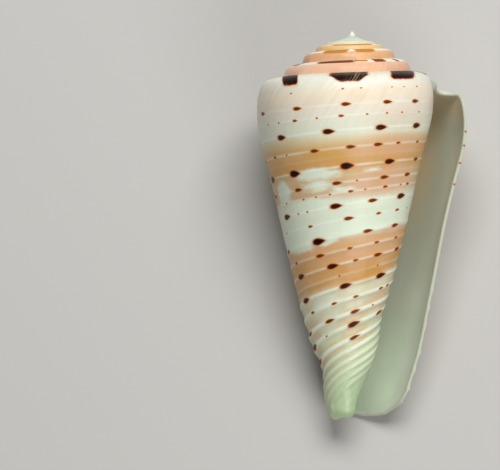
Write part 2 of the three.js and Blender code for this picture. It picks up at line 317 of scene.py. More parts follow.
@dataclass
class Growth:
    """The law that turns one profile into the whole shell."""

    whorl_ratio: float = 1.37
    shell_length: float = 65.8
    columella_dome: float = 2.4
    columella_blend: float = 25.0
    rim_length: float = 65.2
    notch_depth: float = 0.95
    notch_lean: float = 1.8
    aperture_sweep: float = 170.0
    tip_narrowing: float = 1.0
    early_rise: float = 0.62
    early_share: float = 0.15
    early_span: float = 2.4
    tip_lean: float = 0.65
    row_bow: float = 0.0576
    cord_half_width: float = 0.85
    side_slope: float = 13.5
    flat_spot_depth: float = 0.7
    samples: int = 6000
    places: np.ndarray = field(init=False)
    table: np.ndarray = field(init=False)
    arc: np.ndarray = field(init=False)

    def __post_init__(self) -> None:
        """Samples a uniform Catmull-Rom curve through the profile's knots."""
        knots = np.array([(k.depth, k.radius, k.lip_drop, k.lip_flare) for k in PROFILE])
        last = len(knots) - 1
        self.places = np.linspace(0, last, self.samples + 1)
        low = np.minimum(self.places.astype(int), last - 1)
        part = (self.places - low)[:, None]
        before, here = knots[np.maximum(low - 1, 0)], knots[low]
        after, beyond = knots[low + 1], knots[np.minimum(low + 2, last)]
        leaving, arriving = (after - before) / 2, (beyond - here) / 2
        cubic = 2 * here - 2 * after + leaving + arriving
        square = -3 * here + 3 * after - 2 * leaving - arriving
        self.table = cubic * part**3 + square * part**2 + leaving * part + here
        steps = np.hypot(*np.diff(self.table[:, :2], axis=0).T)
        self.arc = np.concatenate([[0.0], np.cumsum(steps)])

    def size(self, angle: np.ndarray | float) -> np.ndarray | float:
        """Size of the shell at a growth angle, 1 at the lip."""
        return self.whorl_ratio ** (angle / TURN)

    def place_of(self, lip_depth: np.ndarray | float) -> np.ndarray | float:
        """Place along the profile that lies a depth below the apex at the lip's size."""
        return np.interp(lip_depth, np.maximum.accumulate(self.table[:, 0]), self.places)

    def lip_depth_of(self, place: np.ndarray) -> np.ndarray:
        """Depth below the apex, at the lip's size, of a place along the profile."""
        return np.interp(place, self.places, self.table[:, 0])

    def arc_of(self, place: np.ndarray) -> np.ndarray:
        """Length along the profile, at the lip's size, up to a place."""
        return np.interp(place, self.places, self.arc)

    def front_depth(self, angle: np.ndarray) -> np.ndarray:
        """Distance below the apex of the wall's front end, around the shell."""
        around = np.clip(-angle / self.aperture_sweep, 0, 1) ** self.notch_lean
        rim = self.rim_length - self.notch_depth * np.sin(np.pi * around) ** 2
        columella = smooth((-angle - self.aperture_sweep) / self.columella_blend)
        return mix(rim, self.shell_length - self.columella_dome, columella)

    def section(self, place: np.ndarray, angle: np.ndarray) -> tuple[np.ndarray, np.ndarray]:
        """Depth below the apex and radius of the outer surface.

        Args:
            place: Place along the profile, counted in its knots.
            angle: Growth angle in degrees.

        Returns:
            Depth and radius in millimetres.
        """
        columns = [np.interp(place, self.places, self.table[:, k]) for k in range(4)]
        size = self.size(angle)
        flare = np.clip(1 + angle / 50.0, 0, 1) ** 2
        depth = size * columns[0] + smooth(1 + angle / 40.0) * columns[2]
        around = smooth(1 - np.abs(angle + 165.0) / 120.0)
        narrowing = self.tip_narrowing * around * smooth((depth - 53.0) / 6.0)
        return depth, size * columns[1] + flare * columns[3] - narrowing

    def inset_section(
        self, place: np.ndarray, angle: np.ndarray, inset: np.ndarray | float
    ) -> tuple[np.ndarray, np.ndarray]:
        """The section moved inwards along the profile's normal by inset."""
        depth, radius = self.section(place, angle)
        depth_on, radius_on = self.section(place + 0.06, angle)
        depth_back, radius_back = self.section(place - 0.06, angle)
        along_depth, along_radius = depth_on - depth_back, radius_on - radius_back
        length = np.hypot(along_depth, along_radius) + 1e-9
        return (
            depth + along_radius / length * inset,
            radius - along_depth / length * inset,
        )

    def row_shift(self, lip_depth: np.ndarray, angle: np.ndarray) -> np.ndarray:
        """How far a spiral row strays from its depth: it bows up on the aperture side."""
        wobble = 0.25 * smooth(1 - np.abs(angle + 228.0) / 45.0) - 0.4 * smooth((-angle - 262.0) / 65.0)
        kept = 1 - smooth((lip_depth - 50.0) / 12.0)
        radius = np.interp(lip_depth, np.maximum.accumulate(self.table[:, 0]), self.table[:, 1])
        facing = np.maximum(np.cos(np.radians(angle + 270.0)), 0.0) * (angle > -TURN)
        return wobble * kept - self.row_bow * radius * facing

    def cord_height(self, lip_depth: np.ndarray, angle: np.ndarray) -> np.ndarray:
        """Height of the spiral cords at a depth on the lip's profile and a growth angle."""
        total = np.zeros_like(lip_depth)
        lip_depth = lip_depth - self.row_shift(lip_depth, angle)
        for row in SPIRAL_ROWS:
            if row.cord:
                total += row.cord * smooth(1 - np.abs(lip_depth - row.depth) / self.cord_half_width)
        return total

    def stand(self, depth: np.ndarray, radius: np.ndarray, angle: np.ndarray) -> np.ndarray:
        """Puts points by depth, radius and growth angle round the axis, then lays them down.

        Args:
            depth: Distance below the apex.
            radius: Distance from the axis.
            angle: Growth angle in degrees.

        Returns:
            Points in millimetres with the apex at the origin.
        """
        turned = np.radians(-angle)
        rise = self.early_rise * np.exp(-(((depth - 3.6) / 1.6) ** 2))
        width = radius * mix(self.early_share, 1.0, smooth(depth / self.early_span))
        lean = self.tip_lean * (1 - smooth((radius - 4.0) / 4.0)) * smooth((depth - 54.0) / 9.0)
        across, back, up = width * np.cos(turned) - lean, width * np.sin(turned), rise - depth
        tilt = math.radians(self.side_slope - 90.0)
        return np.stack(
            [
                across,
                back * math.cos(tilt) - up * math.sin(tilt),
                back * math.sin(tilt) + up * math.cos(tilt),
            ],
            axis=-1,
        )


class FaceStore:
    """Collects the shell's points and faces, with values at each face corner."""

    def __init__(self) -> None:
        """Starts with no points and no faces."""
        self.points: list[np.ndarray] = []
        self.count = 0
        self.corners: list[np.ndarray] = []
        self.lengths: list[np.ndarray] = []
        self.values: list[np.ndarray] = []
        self.marked: list[np.ndarray] = []
        self.finish: list[np.ndarray] = []

    def add_points(self, points: np.ndarray) -> np.ndarray:
        """Stores points and returns their numbers in the same layout.

        Args:
            points: Points with the coordinates along the last axis.

        Returns:
            One number for each point.
        """
        flat = points.reshape(-1, 3)
        numbers = np.arange(self.count, self.count + len(flat)).reshape(points.shape[:-1])
        self.points.append(flat)
        self.count += len(flat)
        return numbers

    def add_faces(self, corners: np.ndarray, values: np.ndarray, marked: bool, finish: int) -> None:
        """Stores four-cornered faces, dropping corners that coincide.

        Args:
            corners: Point numbers, four to a face.
            values: Turns, lip depth and glaze at each corner.
            marked: Whether the faces carry dashes and threads.
            finish: The material's number.
        """
        keep = corners != np.roll(corners, 1, axis=1)
        whole = keep.sum(axis=1) >= 3
        corners, values, keep = corners[whole], values[whole], keep[whole]
        self.corners.append(corners[keep])
        self.values.append(values[keep])
        self.lengths.append(keep.sum(axis=1))
        self.marked.append(np.full(len(corners), marked))
        self.finish.append(np.full(len(corners), finish))

    def add_grid(
        self, numbers: np.ndarray, values: np.ndarray, marked: bool, finish: int, flip: bool
    ) -> None:
        """Stores the faces between neighbouring points of a grid."""
        blocks = (np.s_[:-1, :-1], np.s_[1:, :-1], np.s_[1:, 1:], np.s_[:-1, 1:])
        if flip:
            blocks = (blocks[0], blocks[3], blocks[2], blocks[1])
        corners = np.stack([numbers[b] for b in blocks], axis=-1).reshape(-1, 4)
        at_corners = np.stack([values[b] for b in blocks], axis=-2).reshape(-1, 4, 3)
        self.add_faces(corners, at_corners, marked, finish)


@dataclass
class ShellSurface:
    """Builds the closed surface of the shell on one grid of columns and rows."""

    growth: Growth
    columns: int = 200
    whorls: int = 8
    ramp_rows: int = 15
    roof_rows: int = 6
    roof_depth: float = 13.9
    shoulder: float = 5.0
    lip_join: float = 4.3
    lip_thickness: float = 0.6
    wall_thickness: float = 1.2
    narrows_from: float = 125.0
    end_opening: float = 0.3
    clearance: float = 0.25
    store: FaceStore = field(default_factory=FaceStore)
    suture: list[np.ndarray] = field(default_factory=list)

    def side_depths(self) -> np.ndarray:
        """Depths of the side rows: even at first, then five rows to a cord and one between."""
        half = self.growth.cord_half_width
        cords = [row.depth for row in SPIRAL_ROWS if row.cord]
        depths = list(np.linspace(self.roof_depth, cords[0] - half, 48, endpoint=False))
        for place, depth in enumerate(cords):
            depths += [depth + half * k for k in (-1.0, -0.5, 0.0, 0.5, 1.0)]
            if place + 1 < len(cords):
                gap = cords[place + 1] - depth - 2 * half
                depths += [depth + half + gap * k for k in ((0.5,) if gap < 1.5 else (0.25, 0.5, 0.75))]
        depths += list(np.linspace(depths[-1], 99.0, 12)[1:])
        return np.array(depths)

    def grid(self, first: int, last: int) -> dict[str, np.ndarray]:
        """Works out growth angle, place and front end for a block of columns.

        Args:
            first: The first column, counted back from the lip.
            last: The last column.

        Returns:
            Arrays by name, one row of each for every column.
        """
        side = self.side_depths()
        ramp, roof = self.ramp_rows, self.roof_rows
        base = (np.arange(first, last + 1) * TURN / self.columns)[:, None]
        rows = ramp + roof + len(side)
        notch = np.zeros(rows + 1)
        notch[: ramp + 1] = 12.0 * np.sin(np.pi * np.arange(ramp + 1) / ramp)
        corner = np.zeros(rows + 1)
        corner[ramp + roof :] = np.append(side, 99.0)
        corner = np.clip((corner - 60.0) / 8.4, 0, 1) ** 2.5
        angle = base - smooth(1 + base / 90.0) * (notch + 55.0 * corner)[None, :]
        join = mix(self.shoulder, self.lip_join, smooth(1 - np.abs(angle + TURN) / 40.0))
        place = np.zeros_like(angle)
        place[:, : ramp + 1] = join[:, : ramp + 1] * np.arange(ramp + 1) / ramp
        start = self.growth.place_of(self.roof_depth)
        steps = np.arange(roof + 1) / roof
        place[:, ramp : ramp + roof + 1] = mix(join[:, ramp : ramp + roof + 1], start, steps)
        front = self.growth.front_depth(angle)
        size = self.growth.size(angle)
        side = side + self.growth.row_shift(side, angle[:, ramp + roof : rows]) * smooth(
            (side - 18.0) / 20.0
        )
        place[:, ramp + roof : rows] = self.growth.place_of(side)
        place[:, rows] = self.growth.place_of(front[:, rows] / size[:, rows])
        ended = np.zeros(angle.shape, bool)
        ended[:, ramp + roof : rows] = size[:, ramp + roof : rows] * side > front[
            :, ramp + roof : rows
        ] - 0.1
        angle = np.where(ended, angle[:, rows:], angle)
        place = np.where(ended, place[:, rows:], place)
        return {"angle": angle, "place": place, "front": self.growth.front_depth(angle), "ended": ended}

    def values(self, grid: dict[str, np.ndarray], glaze: np.ndarray | float) -> np.ndarray:
        """Turns, lip depth and glaze for every point of a grid."""
        lip_depth = self.growth.lip_depth_of(grid["place"])
        glaze = np.broadcast_to(glaze, lip_depth.shape)
        return np.stack([grid["angle"] / TURN, lip_depth, glaze], axis=-1)

    def outer_points(self, grid: dict[str, np.ndarray]) -> np.ndarray:
        """The outer surface with its cords, which fade where the aperture hides them."""
        depth, radius = self.growth.section(grid["place"], grid["angle"])
        shown = 1 - smooth((-grid["angle"] - TURN) / 30.0)
        lip_depth = depth / self.growth.size(grid["angle"])
        radius = radius + shown * self.growth.cord_height(lip_depth, grid["angle"])
        return self.growth.stand(depth, radius, grid["angle"])

    def inner_points(self, grid: dict[str, np.ndarray], facing: dict[str, np.ndarray]) -> np.ndarray:
        """The inner face of the last whorl, nearing the whorl inside it at the aperture's end."""
        growth = self.growth
        roof = self.ramp_rows + self.roof_rows
        angle, place = grid["angle"], grid["place"]
        inset = mix(self.lip_thickness, self.wall_thickness, smooth(-angle / 70.0))
        depth, radius = growth.inset_section(place, angle, inset)
        facing_angle = facing["angle"][:, roof : roof + 1]
        under_depth, under_radius = growth.section(facing["place"][:, roof : roof + 1], facing_angle)
        rows = np.arange(angle.shape[1])
        coarse = np.where(
            rows <= self.ramp_rows,
            rows * self.shoulder / self.ramp_rows,
            self.shoulder + (rows - self.ramp_rows) / self.roof_rows,
        )
        under_roof = (rows <= roof)[None, :]
        depth = np.where(under_roof, np.maximum(depth, under_depth), depth)
        limit = under_radius + self.clearance * coarse[None, :]
        radius = np.where(under_roof, np.maximum(radius, limit), radius)
        depth = np.minimum(depth, grid["front"])
        span = growth.aperture_sweep - self.narrows_from
        narrowing = (1 - self.end_opening) * smooth((-angle - self.narrows_from) / span)
        across_place = growth.place_of(depth / growth.size(facing_angle))
        across_depth, across_radius = growth.section(across_place, facing_angle + 0 * depth)
        depth = mix(depth, np.where(under_roof, under_depth, across_depth), narrowing)
        radius = mix(radius, np.where(under_roof, under_radius, across_radius), narrowing)
        return growth.stand(depth, radius, angle)

    @staticmethod
    def collapse(numbers: np.ndarray, ended: np.ndarray) -> np.ndarray:
        """Gives rows past the front end the number of the last row."""
        return np.where(ended, numbers[:, -1:], numbers)

    def build(self) -> FaceStore:
        """Builds every part of the closed surface.

        Returns:
            The points and faces of the shell.
        """
        turn = self.columns
        sweep = round(self.growth.aperture_sweep / TURN * turn)
        roof = self.ramp_rows + self.roof_rows
        spire = self.grid(-self.whorls * turn, -turn - 1)
        spire_points = self.outer_points(spire)[:, : self.ramp_rows + 1]
        body = self.grid(-turn, 0)
        facing = self.grid(-turn - sweep, -turn)
        wall = self.grid(-sweep, 0)
        spire_ids = self.store.add_points(spire_points)
        body_ids = self.collapse(self.store.add_points(self.outer_points(body)), body["ended"])
        ramp_ids = np.vstack([spire_ids, body_ids[:, : self.ramp_rows + 1]])
        ramp_ids[turn:, 0] = ramp_ids[:-turn, self.ramp_rows]
        spire_ids, body_ids[:, 0] = ramp_ids[: len(spire_ids)], ramp_ids[len(spire_ids) :, 0]
        facing_ids = self.store.add_points(self.outer_points(facing))
        facing_ids = self.collapse(facing_ids, facing["ended"])
        facing_ids[-1] = body_ids[0]
        wall_ids = self.collapse(self.store.add_points(self.inner_points(wall, facing)), wall["ended"])
        wall_ids[:, 0] = facing_ids[:, roof]
        self.suture.append(ramp_ids[:, 0])

        ramp_grid = {
            name: np.vstack([spire[name][:, : self.ramp_rows + 1], body[name][:, : self.ramp_rows + 1]])
            for name in ("angle", "place")
        }
        self.store.add_grid(ramp_ids, self.values(ramp_grid, 0.0), True, 0, False)
        below = {name: body[name][:, self.ramp_rows :] for name in ("angle", "place")}
        self.store.add_grid(body_ids[:, self.ramp_rows :], self.values(below, 0.0), True, 0, False)
        hidden = {name: facing[name][:, roof:] for name in ("angle", "place")}
        covered = smooth((-hidden["angle"] - TURN - 2.0) / 12.0)
        self.store.add_grid(facing_ids[:, roof:], self.values(hidden, covered), True, 0, False)
        self.store.add_grid(wall_ids, self.values(wall, 1.0), False, 1, True)
        edge_ids = self.add_edge(body, body_ids, wall, wall_ids, sweep)
        self.add_aperture_end(facing, facing_ids, wall, wall_ids)
        self.add_columella(facing, facing_ids, body, body_ids, edge_ids, sweep)
        self.add_apex(ramp_ids, ramp_grid)
        return self.store

    def add_edge(
        self,
        body: dict[str, np.ndarray],
        body_ids: np.ndarray,
        wall: dict[str, np.ndarray],
        wall_ids: np.ndarray,
        sweep: int,
    ) -> np.ndarray:
        """Rounds the edge of the lip and of the front rim.

        Args:
            body: Grid of the last whorl's outer surface.
            body_ids: Its point numbers.
            wall: Grid of the inner wall.
            wall_ids: Its point numbers.
            sweep: Columns that the aperture runs back.

        Returns:
            The point numbers across the edge at the aperture's end.
        """
        points = np.vstack(self.store.points)
        outer = np.concatenate([body_ids[-1], body_ids[-2 : -sweep - 2 : -1, -1]])
        inner = np.concatenate([wall_ids[-1], wall_ids[-2::-1, -1]])
        body_values, wall_values = self.values(body, 0.0), self.values(wall, 0.0)
        outer_values = np.concatenate([body_values[-1], body_values[-2 : -sweep - 2 : -1, -1]])
        inner_values = np.concatenate([wall_values[-1], wall_values[-2::-1, -1]])
        fresh = np.append(True, outer[1:] != outer[:-1])
        outer, inner = outer[fresh], inner[fresh]
        outer_values, inner_values = outer_values[fresh], inner_values[fresh]
        across = (points[outer] - points[inner]) / 2
        middle = (points[outer] + points[inner]) / 2
        along = np.gradient(middle, axis=0)
        away = np.cross(along, across)
        away /= np.linalg.norm(away, axis=1, keepdims=True) + 1e-9
        lip_middle = self.ramp_rows + self.roof_rows + 20
        onward = points[body_ids[-1, lip_middle]] - points[body_ids[-2, lip_middle]]
        away *= np.sign(away[lip_middle] @ onward)
        reach = np.linalg.norm(across, axis=1, keepdims=True)
        lines = [outer]
        for step in range(1, self.roof_rows):
            turned = math.pi * step / self.roof_rows
            line = middle + across * math.cos(turned) + away * reach * math.sin(turned)
            lines.append(self.store.add_points(line))
        lines.append(inner)
        numbers = np.stack(lines, axis=1)
        numbers[0] = body_ids[0, self.ramp_rows : self.ramp_rows + self.roof_rows + 1]
        share = smooth(np.linspace(0, 1, self.roof_rows + 1))[None, :, None]
        values = mix(outer_values[:, None, :], inner_values[:, None, :], share)
        values[..., 2] = np.linspace(0.0, 1.0, self.roof_rows + 1)[None, :]
        self.store.add_grid(numbers, values, True, 0, True)
        return numbers[-1]

    def zip_lines(
        self,
        left: np.ndarray,
        right: np.ndarray,
        left_values: np.ndarray,
        right_values: np.ndarray,
        finish: int,
    ) -> None:
        """Closes the gap between two lines of points that run side by side."""
        corners, values = [], []
        i = j = 0
        while i < len(left) - 1 or j < len(right) - 1:
            if (i + 1) / (len(left) - 1) <= (j + 1) / (len(right) - 1):
                corners.append((left[i], left[i + 1], right[j], right[j]))
                values.append((left_values[i], left_values[i + 1], right_values[j], right_values[j]))
                i += 1
            else:
                corners.append((left[i], right[j + 1], right[j], right[j]))
                values.append((left_values[i], right_values[j + 1], right_values[j], right_values[j]))
                j += 1
        self.store.add_faces(np.array(corners), np.array(values), False, finish)

    def add_aperture_end(
        self,
        facing: dict[str, np.ndarray],
        facing_ids: np.ndarray,
        wall: dict[str, np.ndarray],
        wall_ids: np.ndarray,
    ) -> None:
        """Closes the aperture deep inside, between its two walls."""
        roof = self.ramp_rows + self.roof_rows
        left, left_values = facing_ids[0, roof:], self.values(facing, 1.0)[0, roof:]
        right, right_values = wall_ids[0, 1:], self.values(wall, 1.0)[0, 1:]
        left_fresh = np.append(True, left[1:] != left[:-1])
        right_fresh = np.append(True, right[1:] != right[:-1])
        self.zip_lines(
            left[left_fresh], right[right_fresh], left_values[left_fresh], right_values[right_fresh], 1
        )

    def add_dome(
        self,
        loop: np.ndarray,
        loop_values: np.ndarray,
        tip: np.ndarray,
        axis: np.ndarray,
        power: float,
        rings: int,
    ) -> None:
        """Closes a loop of points with a dome.

        Args:
            loop: Point numbers round the opening.
            loop_values: Their values.
            tip: The dome's highest point.
            axis: Unit direction from the opening to the tip.
            power: Roundness: 1 is a cone, 2 a ball.
            rings: Rings between the loop and the tip.
        """
        points = np.vstack(self.store.points)[loop]
        lines, line_values = [loop], [loop_values]
        for ring in range(1, rings + 1):
            scale = math.cos(math.pi / 2 * ring / rings)
            rise = (1 - scale**power) ** (1 / power)
            flat = tip + (points - tip) * scale
            height = (points - tip) @ axis
            line = flat + axis * (height * (1 - rise) - (flat - tip) @ axis)[:, None]
            if ring == rings:
                line = np.repeat(tip[None, :], len(loop), axis=0)
                number = self.store.add_points(line[:1])
                lines.append(np.repeat(number, len(loop)))
            else:
                lines.append(self.store.add_points(line))
            line_values.append(loop_values)
        numbers = np.stack(lines, axis=1)
        values = np.stack(line_values, axis=1)
        numbers = np.vstack([numbers, numbers[:1]])
        values = np.vstack([values, values[:1]])
        self.store.add_grid(numbers, values, False, 0, False)

    def add_columella(
        self,
        facing: dict[str, np.ndarray],
        facing_ids: np.ndarray,
        body: dict[str, np.ndarray],
        body_ids: np.ndarray,
        edge_ids: np.ndarray,
        sweep: int,
    ) -> None:
        """Rounds the end of the columella."""
        loop = np.concatenate([facing_ids[:-1, -1], body_ids[: self.columns - sweep + 1, -1], edge_ids[1:]])
        values = np.concatenate(
            [
                self.values(facing, 0.0)[:-1, -1],
                self.values(body, 0.0)[: self.columns - sweep + 1, -1],
                np.repeat(self.values(body, 0.0)[self.columns - sweep, -1][None, :], self.roof_rows, axis=0),
            ]
        )
        points = np.vstack(self.store.points)[loop]
        origin = self.growth.stand(np.array(0.0), np.array(0.0), np.array(0.0))
        axis = self.growth.stand(np.array(1.0), np.array(0.0), np.array(0.0)) - origin
        axis /= np.linalg.norm(axis)
        middle = points.mean(axis=0)
        tip = middle + axis * (self.growth.shell_length - (middle - origin) @ axis)
        self.add_dome(loop, values, tip, axis, 2.4, 10)

    def add_apex(self, ramp_ids: np.ndarray, ramp_grid: dict[str, np.ndarray]) -> None:
        """Closes the tip of the spire."""
        values = self.values(ramp_grid, 0.0)
        ring = np.arange(self.columns + 1)
        loop = np.concatenate([ramp_ids[ring, 0], ramp_ids[0, self.ramp_rows - 1 : 0 : -1]])[::-1]
        loop_values = np.concatenate([values[ring, 0], values[0, self.ramp_rows - 1 : 0 : -1]])[::-1]
        origin = self.growth.stand(np.array(0.0), np.array(0.0), np.array(0.0))
        ahead = self.growth.stand(np.array(1.0), np.array(0.0), np.array(0.0))
        axis = (origin - ahead) / np.linalg.norm(origin - ahead)
        self.add_dome(loop, loop_values, origin, axis, 1.25, 5)


@dataclass
class Markings:
    """Finds for every face the nearest dash and the nearest spiral thread."""

    growth: Growth
    shoulder_radius: float = 17.6

    def row_arc(self, depth: float, angle: np.ndarray) -> np.ndarray:
        """Length along the profile, at the lip's size, up to a row."""
        return self.growth.arc_of(
            self.growth.place_of(depth + self.growth.row_shift(np.array(depth), angle))
        )

    def table(self) -> np.ndarray:
        """All dashes and marks as rows of angle, arc, half length, half height, squareness and tone."""
        rows = []
        for row in SPIRAL_ROWS:
            for back, size in row.dashes():
                arc = float(self.row_arc(row.depth, np.array(-float(back))))
                rows.append((-float(back), arc, size.length, size.height, 0.0, size.tone))
        for mark in SHOULDER_MARKS:
            angle = -mark.angle
            scale = float(self.growth.size(angle))
            high = float(self.growth.arc_of(self.growth.place_of(mark.high)))
            low = float(self.growth.arc_of(self.growth.place_of(mark.low)))
            radius = scale * self.shoulder_radius
            half_length = radius * math.radians(mark.half_width)
            rows.append((angle, (high + low) / 2, half_length, scale * (low - high) / 2, *mark.kind.value))
        return np.array(rows)

    def nearest_dash(
        self, angle: np.ndarray, arc: np.ndarray, size: np.ndarray, radii: np.ndarray
    ) -> np.ndarray:
        """Offsets to the nearest dash in half lengths and half heights, with its look.

        Args:
            angle: Growth angle at each face corner, four or three to a face.
            arc: Length along the profile at each corner.
            size: Size of the shell at each corner.
            radii: Radius at each corner.

        Returns:
            Along, across, squareness and tone for each corner.
        """
        marks = self.table()
        radius = radii.mean(1)
        middle_angle, middle_arc, middle_size = angle.mean(1), arc.mean(1), size.mean(1)
        best = np.full(len(angle), 1e9)
        chosen = np.zeros(len(angle), int)
        for number, (at, along, half_length, half_height, _square, _tone) in enumerate(marks):
            near = np.abs(middle_angle - at) < 60.0
            offset = np.radians(middle_angle[near] - at) * radius[near] / half_length
            rise = middle_size[near] * (middle_arc[near] - along) / half_height
            distance = offset**2 + rise**2
            index = np.nonzero(near)[0]
            closer = distance < best[index]
            best[index[closer]] = distance[closer]
            chosen[index[closer]] = number
        mark = marks[chosen]
        along = np.radians(angle - mark[:, 0:1]) * radius[:, None] / mark[:, 2:3]
        facing = np.sin(np.radians(-mark[:, 0:1]))
        close_by = np.abs(angle - mark[:, 0:1]) < 30.0
        square_on = close_by & (facing < -0.35) & (mark[:, 4:5] > 0) & (mark[:, 0:1] > -TURN)
        edge_radius = self.shoulder_radius * self.growth.size(mark[:, 0:1])
        sideways = radii * np.cos(np.radians(-angle)) - edge_radius * np.cos(np.radians(-mark[:, 0:1]))
        along = np.where(square_on, sideways / (mark[:, 2:3] * np.where(square_on, facing, 1.0)), along)
        across = size * (arc - mark[:, 1:2]) / mark[:, 3:4]
        look = [np.repeat(mark[:, k : k + 1], angle.shape[1], axis=1) for k in (4, 5)]
        far = (best > 30.0)[:, None]
        return np.stack([np.where(far, FAR_AWAY, along), np.where(far, FAR_AWAY, across), *look], axis=-1)

    def clouds(self, angle: np.ndarray, depth: np.ndarray) -> np.ndarray:
        """How strongly each corner lies in a pale cloud and in a blushing one, and an unused zero."""
        layers = []
        for group in (PALE_CLOUDS, BLUSH_CLOUDS):
            best = np.zeros(angle.shape)
            for cloud in group:
                away = np.hypot(
                    (angle + cloud.angle) / cloud.half_width, (depth - cloud.depth) / cloud.half_height
                )
                best = np.maximum(best, cloud.strength * np.clip(1.6 - away, 0.0, 1.0))
            layers.append(best)
        return np.stack([*layers, np.zeros(angle.shape)], axis=-1)

    def nearest_thread(self, angle: np.ndarray, arc: np.ndarray, size: np.ndarray) -> np.ndarray:
        """Offset in millimetres to the nearest thread, and how white its crest is painted, on the front
        cords partly as a painted highlight.
        """
        best = np.full(angle.shape[0], 1e9)
        offset = np.full(angle.shape, FAR_AWAY)
        crest = np.zeros(angle.shape)
        for row in SPIRAL_ROWS:
            away = size * (arc - self.row_arc(row.depth, angle))
            middle = np.abs(away.mean(1))
            closer = middle < best
            best = np.where(closer, middle, best)
            offset = np.where(closer[:, None], away, offset)
            crest = np.where(closer[:, None], row.crest, crest)
        return np.stack([offset, crest], axis=-1)


class Graph:
    """A node tree with short ways to add and join nodes."""

    def __init__(self, tree: bpy.types.NodeTree) -> None:
        """Keeps the tree that nodes are added to."""
        self.tree = tree

    def node(self, kind: str, **settings: object) -> bpy.types.Node:
        """Adds a node and sets its properties."""
        made = self.tree.nodes.new(kind)
        for name, value in settings.items():
            setattr(made, name, value)
        return made

    def put(self, socket: bpy.types.NodeSocket, value: object) -> None:
        """Joins an output to the socket, or sets the socket's own value."""
        if isinstance(value, bpy.types.NodeSocket):
            self.tree.links.new(value, socket)
        else:
            socket.default_value = value

    def math(
        self, operation: str, first: object, second: object = 0.0, third: object = 0.0, clamp: bool = False
    ) -> bpy.types.NodeSocket:
        """Adds a Math node."""
        made = self.node("ShaderNodeMath", operation=operation, use_clamp=clamp)
        for socket, value in zip(made.inputs, (first, second, third)):
            self.put(socket, value)
        return made.outputs[0]

    def blend(self, share: object, first: object, second: object, mode: str = "MIX") -> bpy.types.NodeSocket:
        """Mixes two colours by share."""
        made = self.node("ShaderNodeMix", data_type="RGBA", blend_type=mode)
        self.put(made.inputs[0], share)
        self.put(made.inputs[6], first)
        self.put(made.inputs[7], second)
        return made.outputs[2]

    def span(
        self, value: object, low: float, high: float, to_low: float = 0.0, to_high: float = 1.0
    ) -> bpy.types.NodeSocket:
        """Maps low to high smoothly onto to_low to to_high, held at both ends."""
        made = self.node("ShaderNodeMapRange", interpolation_type="SMOOTHSTEP")
        for socket, number in zip(made.inputs[:5], (value, low, high, to_low, to_high)):
            self.put(socket, number)
        return made.outputs[0]

    def ramp(
        self, value: object, stops: tuple[tuple[float, str], ...], low: float, high: float
    ) -> bpy.types.NodeSocket:
        """Colours a value by stops given in the value's own units."""
        made = self.node("ShaderNodeValToRGB")
        part = self.math("DIVIDE", self.math("SUBTRACT", value, low), high - low)
        self.put(made.inputs[0], part)
        line = made.color_ramp
        while len(line.elements) < len(stops):
            line.elements.new(1.0)
        for element, (at, code) in zip(line.elements, stops):
            element.position = (at - low) / (high - low)
            element.color = paint(code)
        return made.outputs[0]

    def noise(
        self, vector: object, scale: float, detail: float = 2.0, roughness: float = 0.5
    ) -> bpy.types.NodeSocket:
        """Adds a Noise texture and returns its value."""
        made = self.node("ShaderNodeTexNoise")
        self.put(made.inputs["Vector"], vector)
        self.put(made.inputs["Scale"], scale)
        self.put(made.inputs["Detail"], detail)
        self.put(made.inputs["Roughness"], roughness)
        return made.outputs[0]

    def vector(self, x: object, y: object, z: object) -> bpy.types.NodeSocket:
        """Joins three values into a vector."""
        made = self.node("ShaderNodeCombineXYZ")
        for socket, value in zip(made.inputs, (x, y, z)):
            self.put(socket, value)
        return made.outputs[0]

    def parts(self, name: str) -> list[bpy.types.NodeSocket]:
        """The three values of a mesh attribute."""
        source = self.node("ShaderNodeAttribute", attribute_name=name)
        split = self.node("ShaderNodeSeparateXYZ")
        self.put(split.inputs[0], source.outputs["Vector"])
        return list(split.outputs)

    def group(self, tree: bpy.types.NodeTree, **values: object) -> dict[str, bpy.types.NodeSocket]:
        """Places a node group and returns its outputs by name."""
        made = self.node("ShaderNodeGroup", node_tree=tree)
        for name, value in values.items():
            self.put(made.inputs[name.replace("_", " ").capitalize()], value)
        return {socket.name: socket for socket in made.outputs}


@dataclass(frozen=True)
class GroupSocket:
    """A named input or output of a shader node group."""

    name: str
    output: bool = False
    start: float = 0.0


class EffectGroup:
    """A shader node group that is built once and placed in several materials."""

    name = "effect"
    sockets: tuple[GroupSocket, ...] = ()

    def __init__(self) -> None:
        """Makes the group with its sockets and fills it."""
        self.tree = bpy.data.node_groups.new(self.name, "ShaderNodeTree")
        for socket in self.sockets:
            made = self.tree.interface.new_socket(
                socket.name, in_out="OUTPUT" if socket.output else "INPUT", socket_type="NodeSocketFloat"
            )
            if not socket.output:
                made.default_value = socket.start
        self.graph = Graph(self.tree)
        self.inside = self.graph.node("NodeGroupInput")
        self.result = self.graph.node("NodeGroupOutput")
        self.fill()

    def read(self, name: str) -> bpy.types.NodeSocket:
        """An input of the group, as its nodes see it."""
        return self.inside.outputs[name]

    def give(self, name: str, value: bpy.types.NodeSocket) -> None:
        """Sends a value to one of the group's outputs."""
        self.graph.put(self.result.inputs[name], value)

    def fill(self) -> None:
        """Adds the group's nodes."""
        raise NotImplementedError


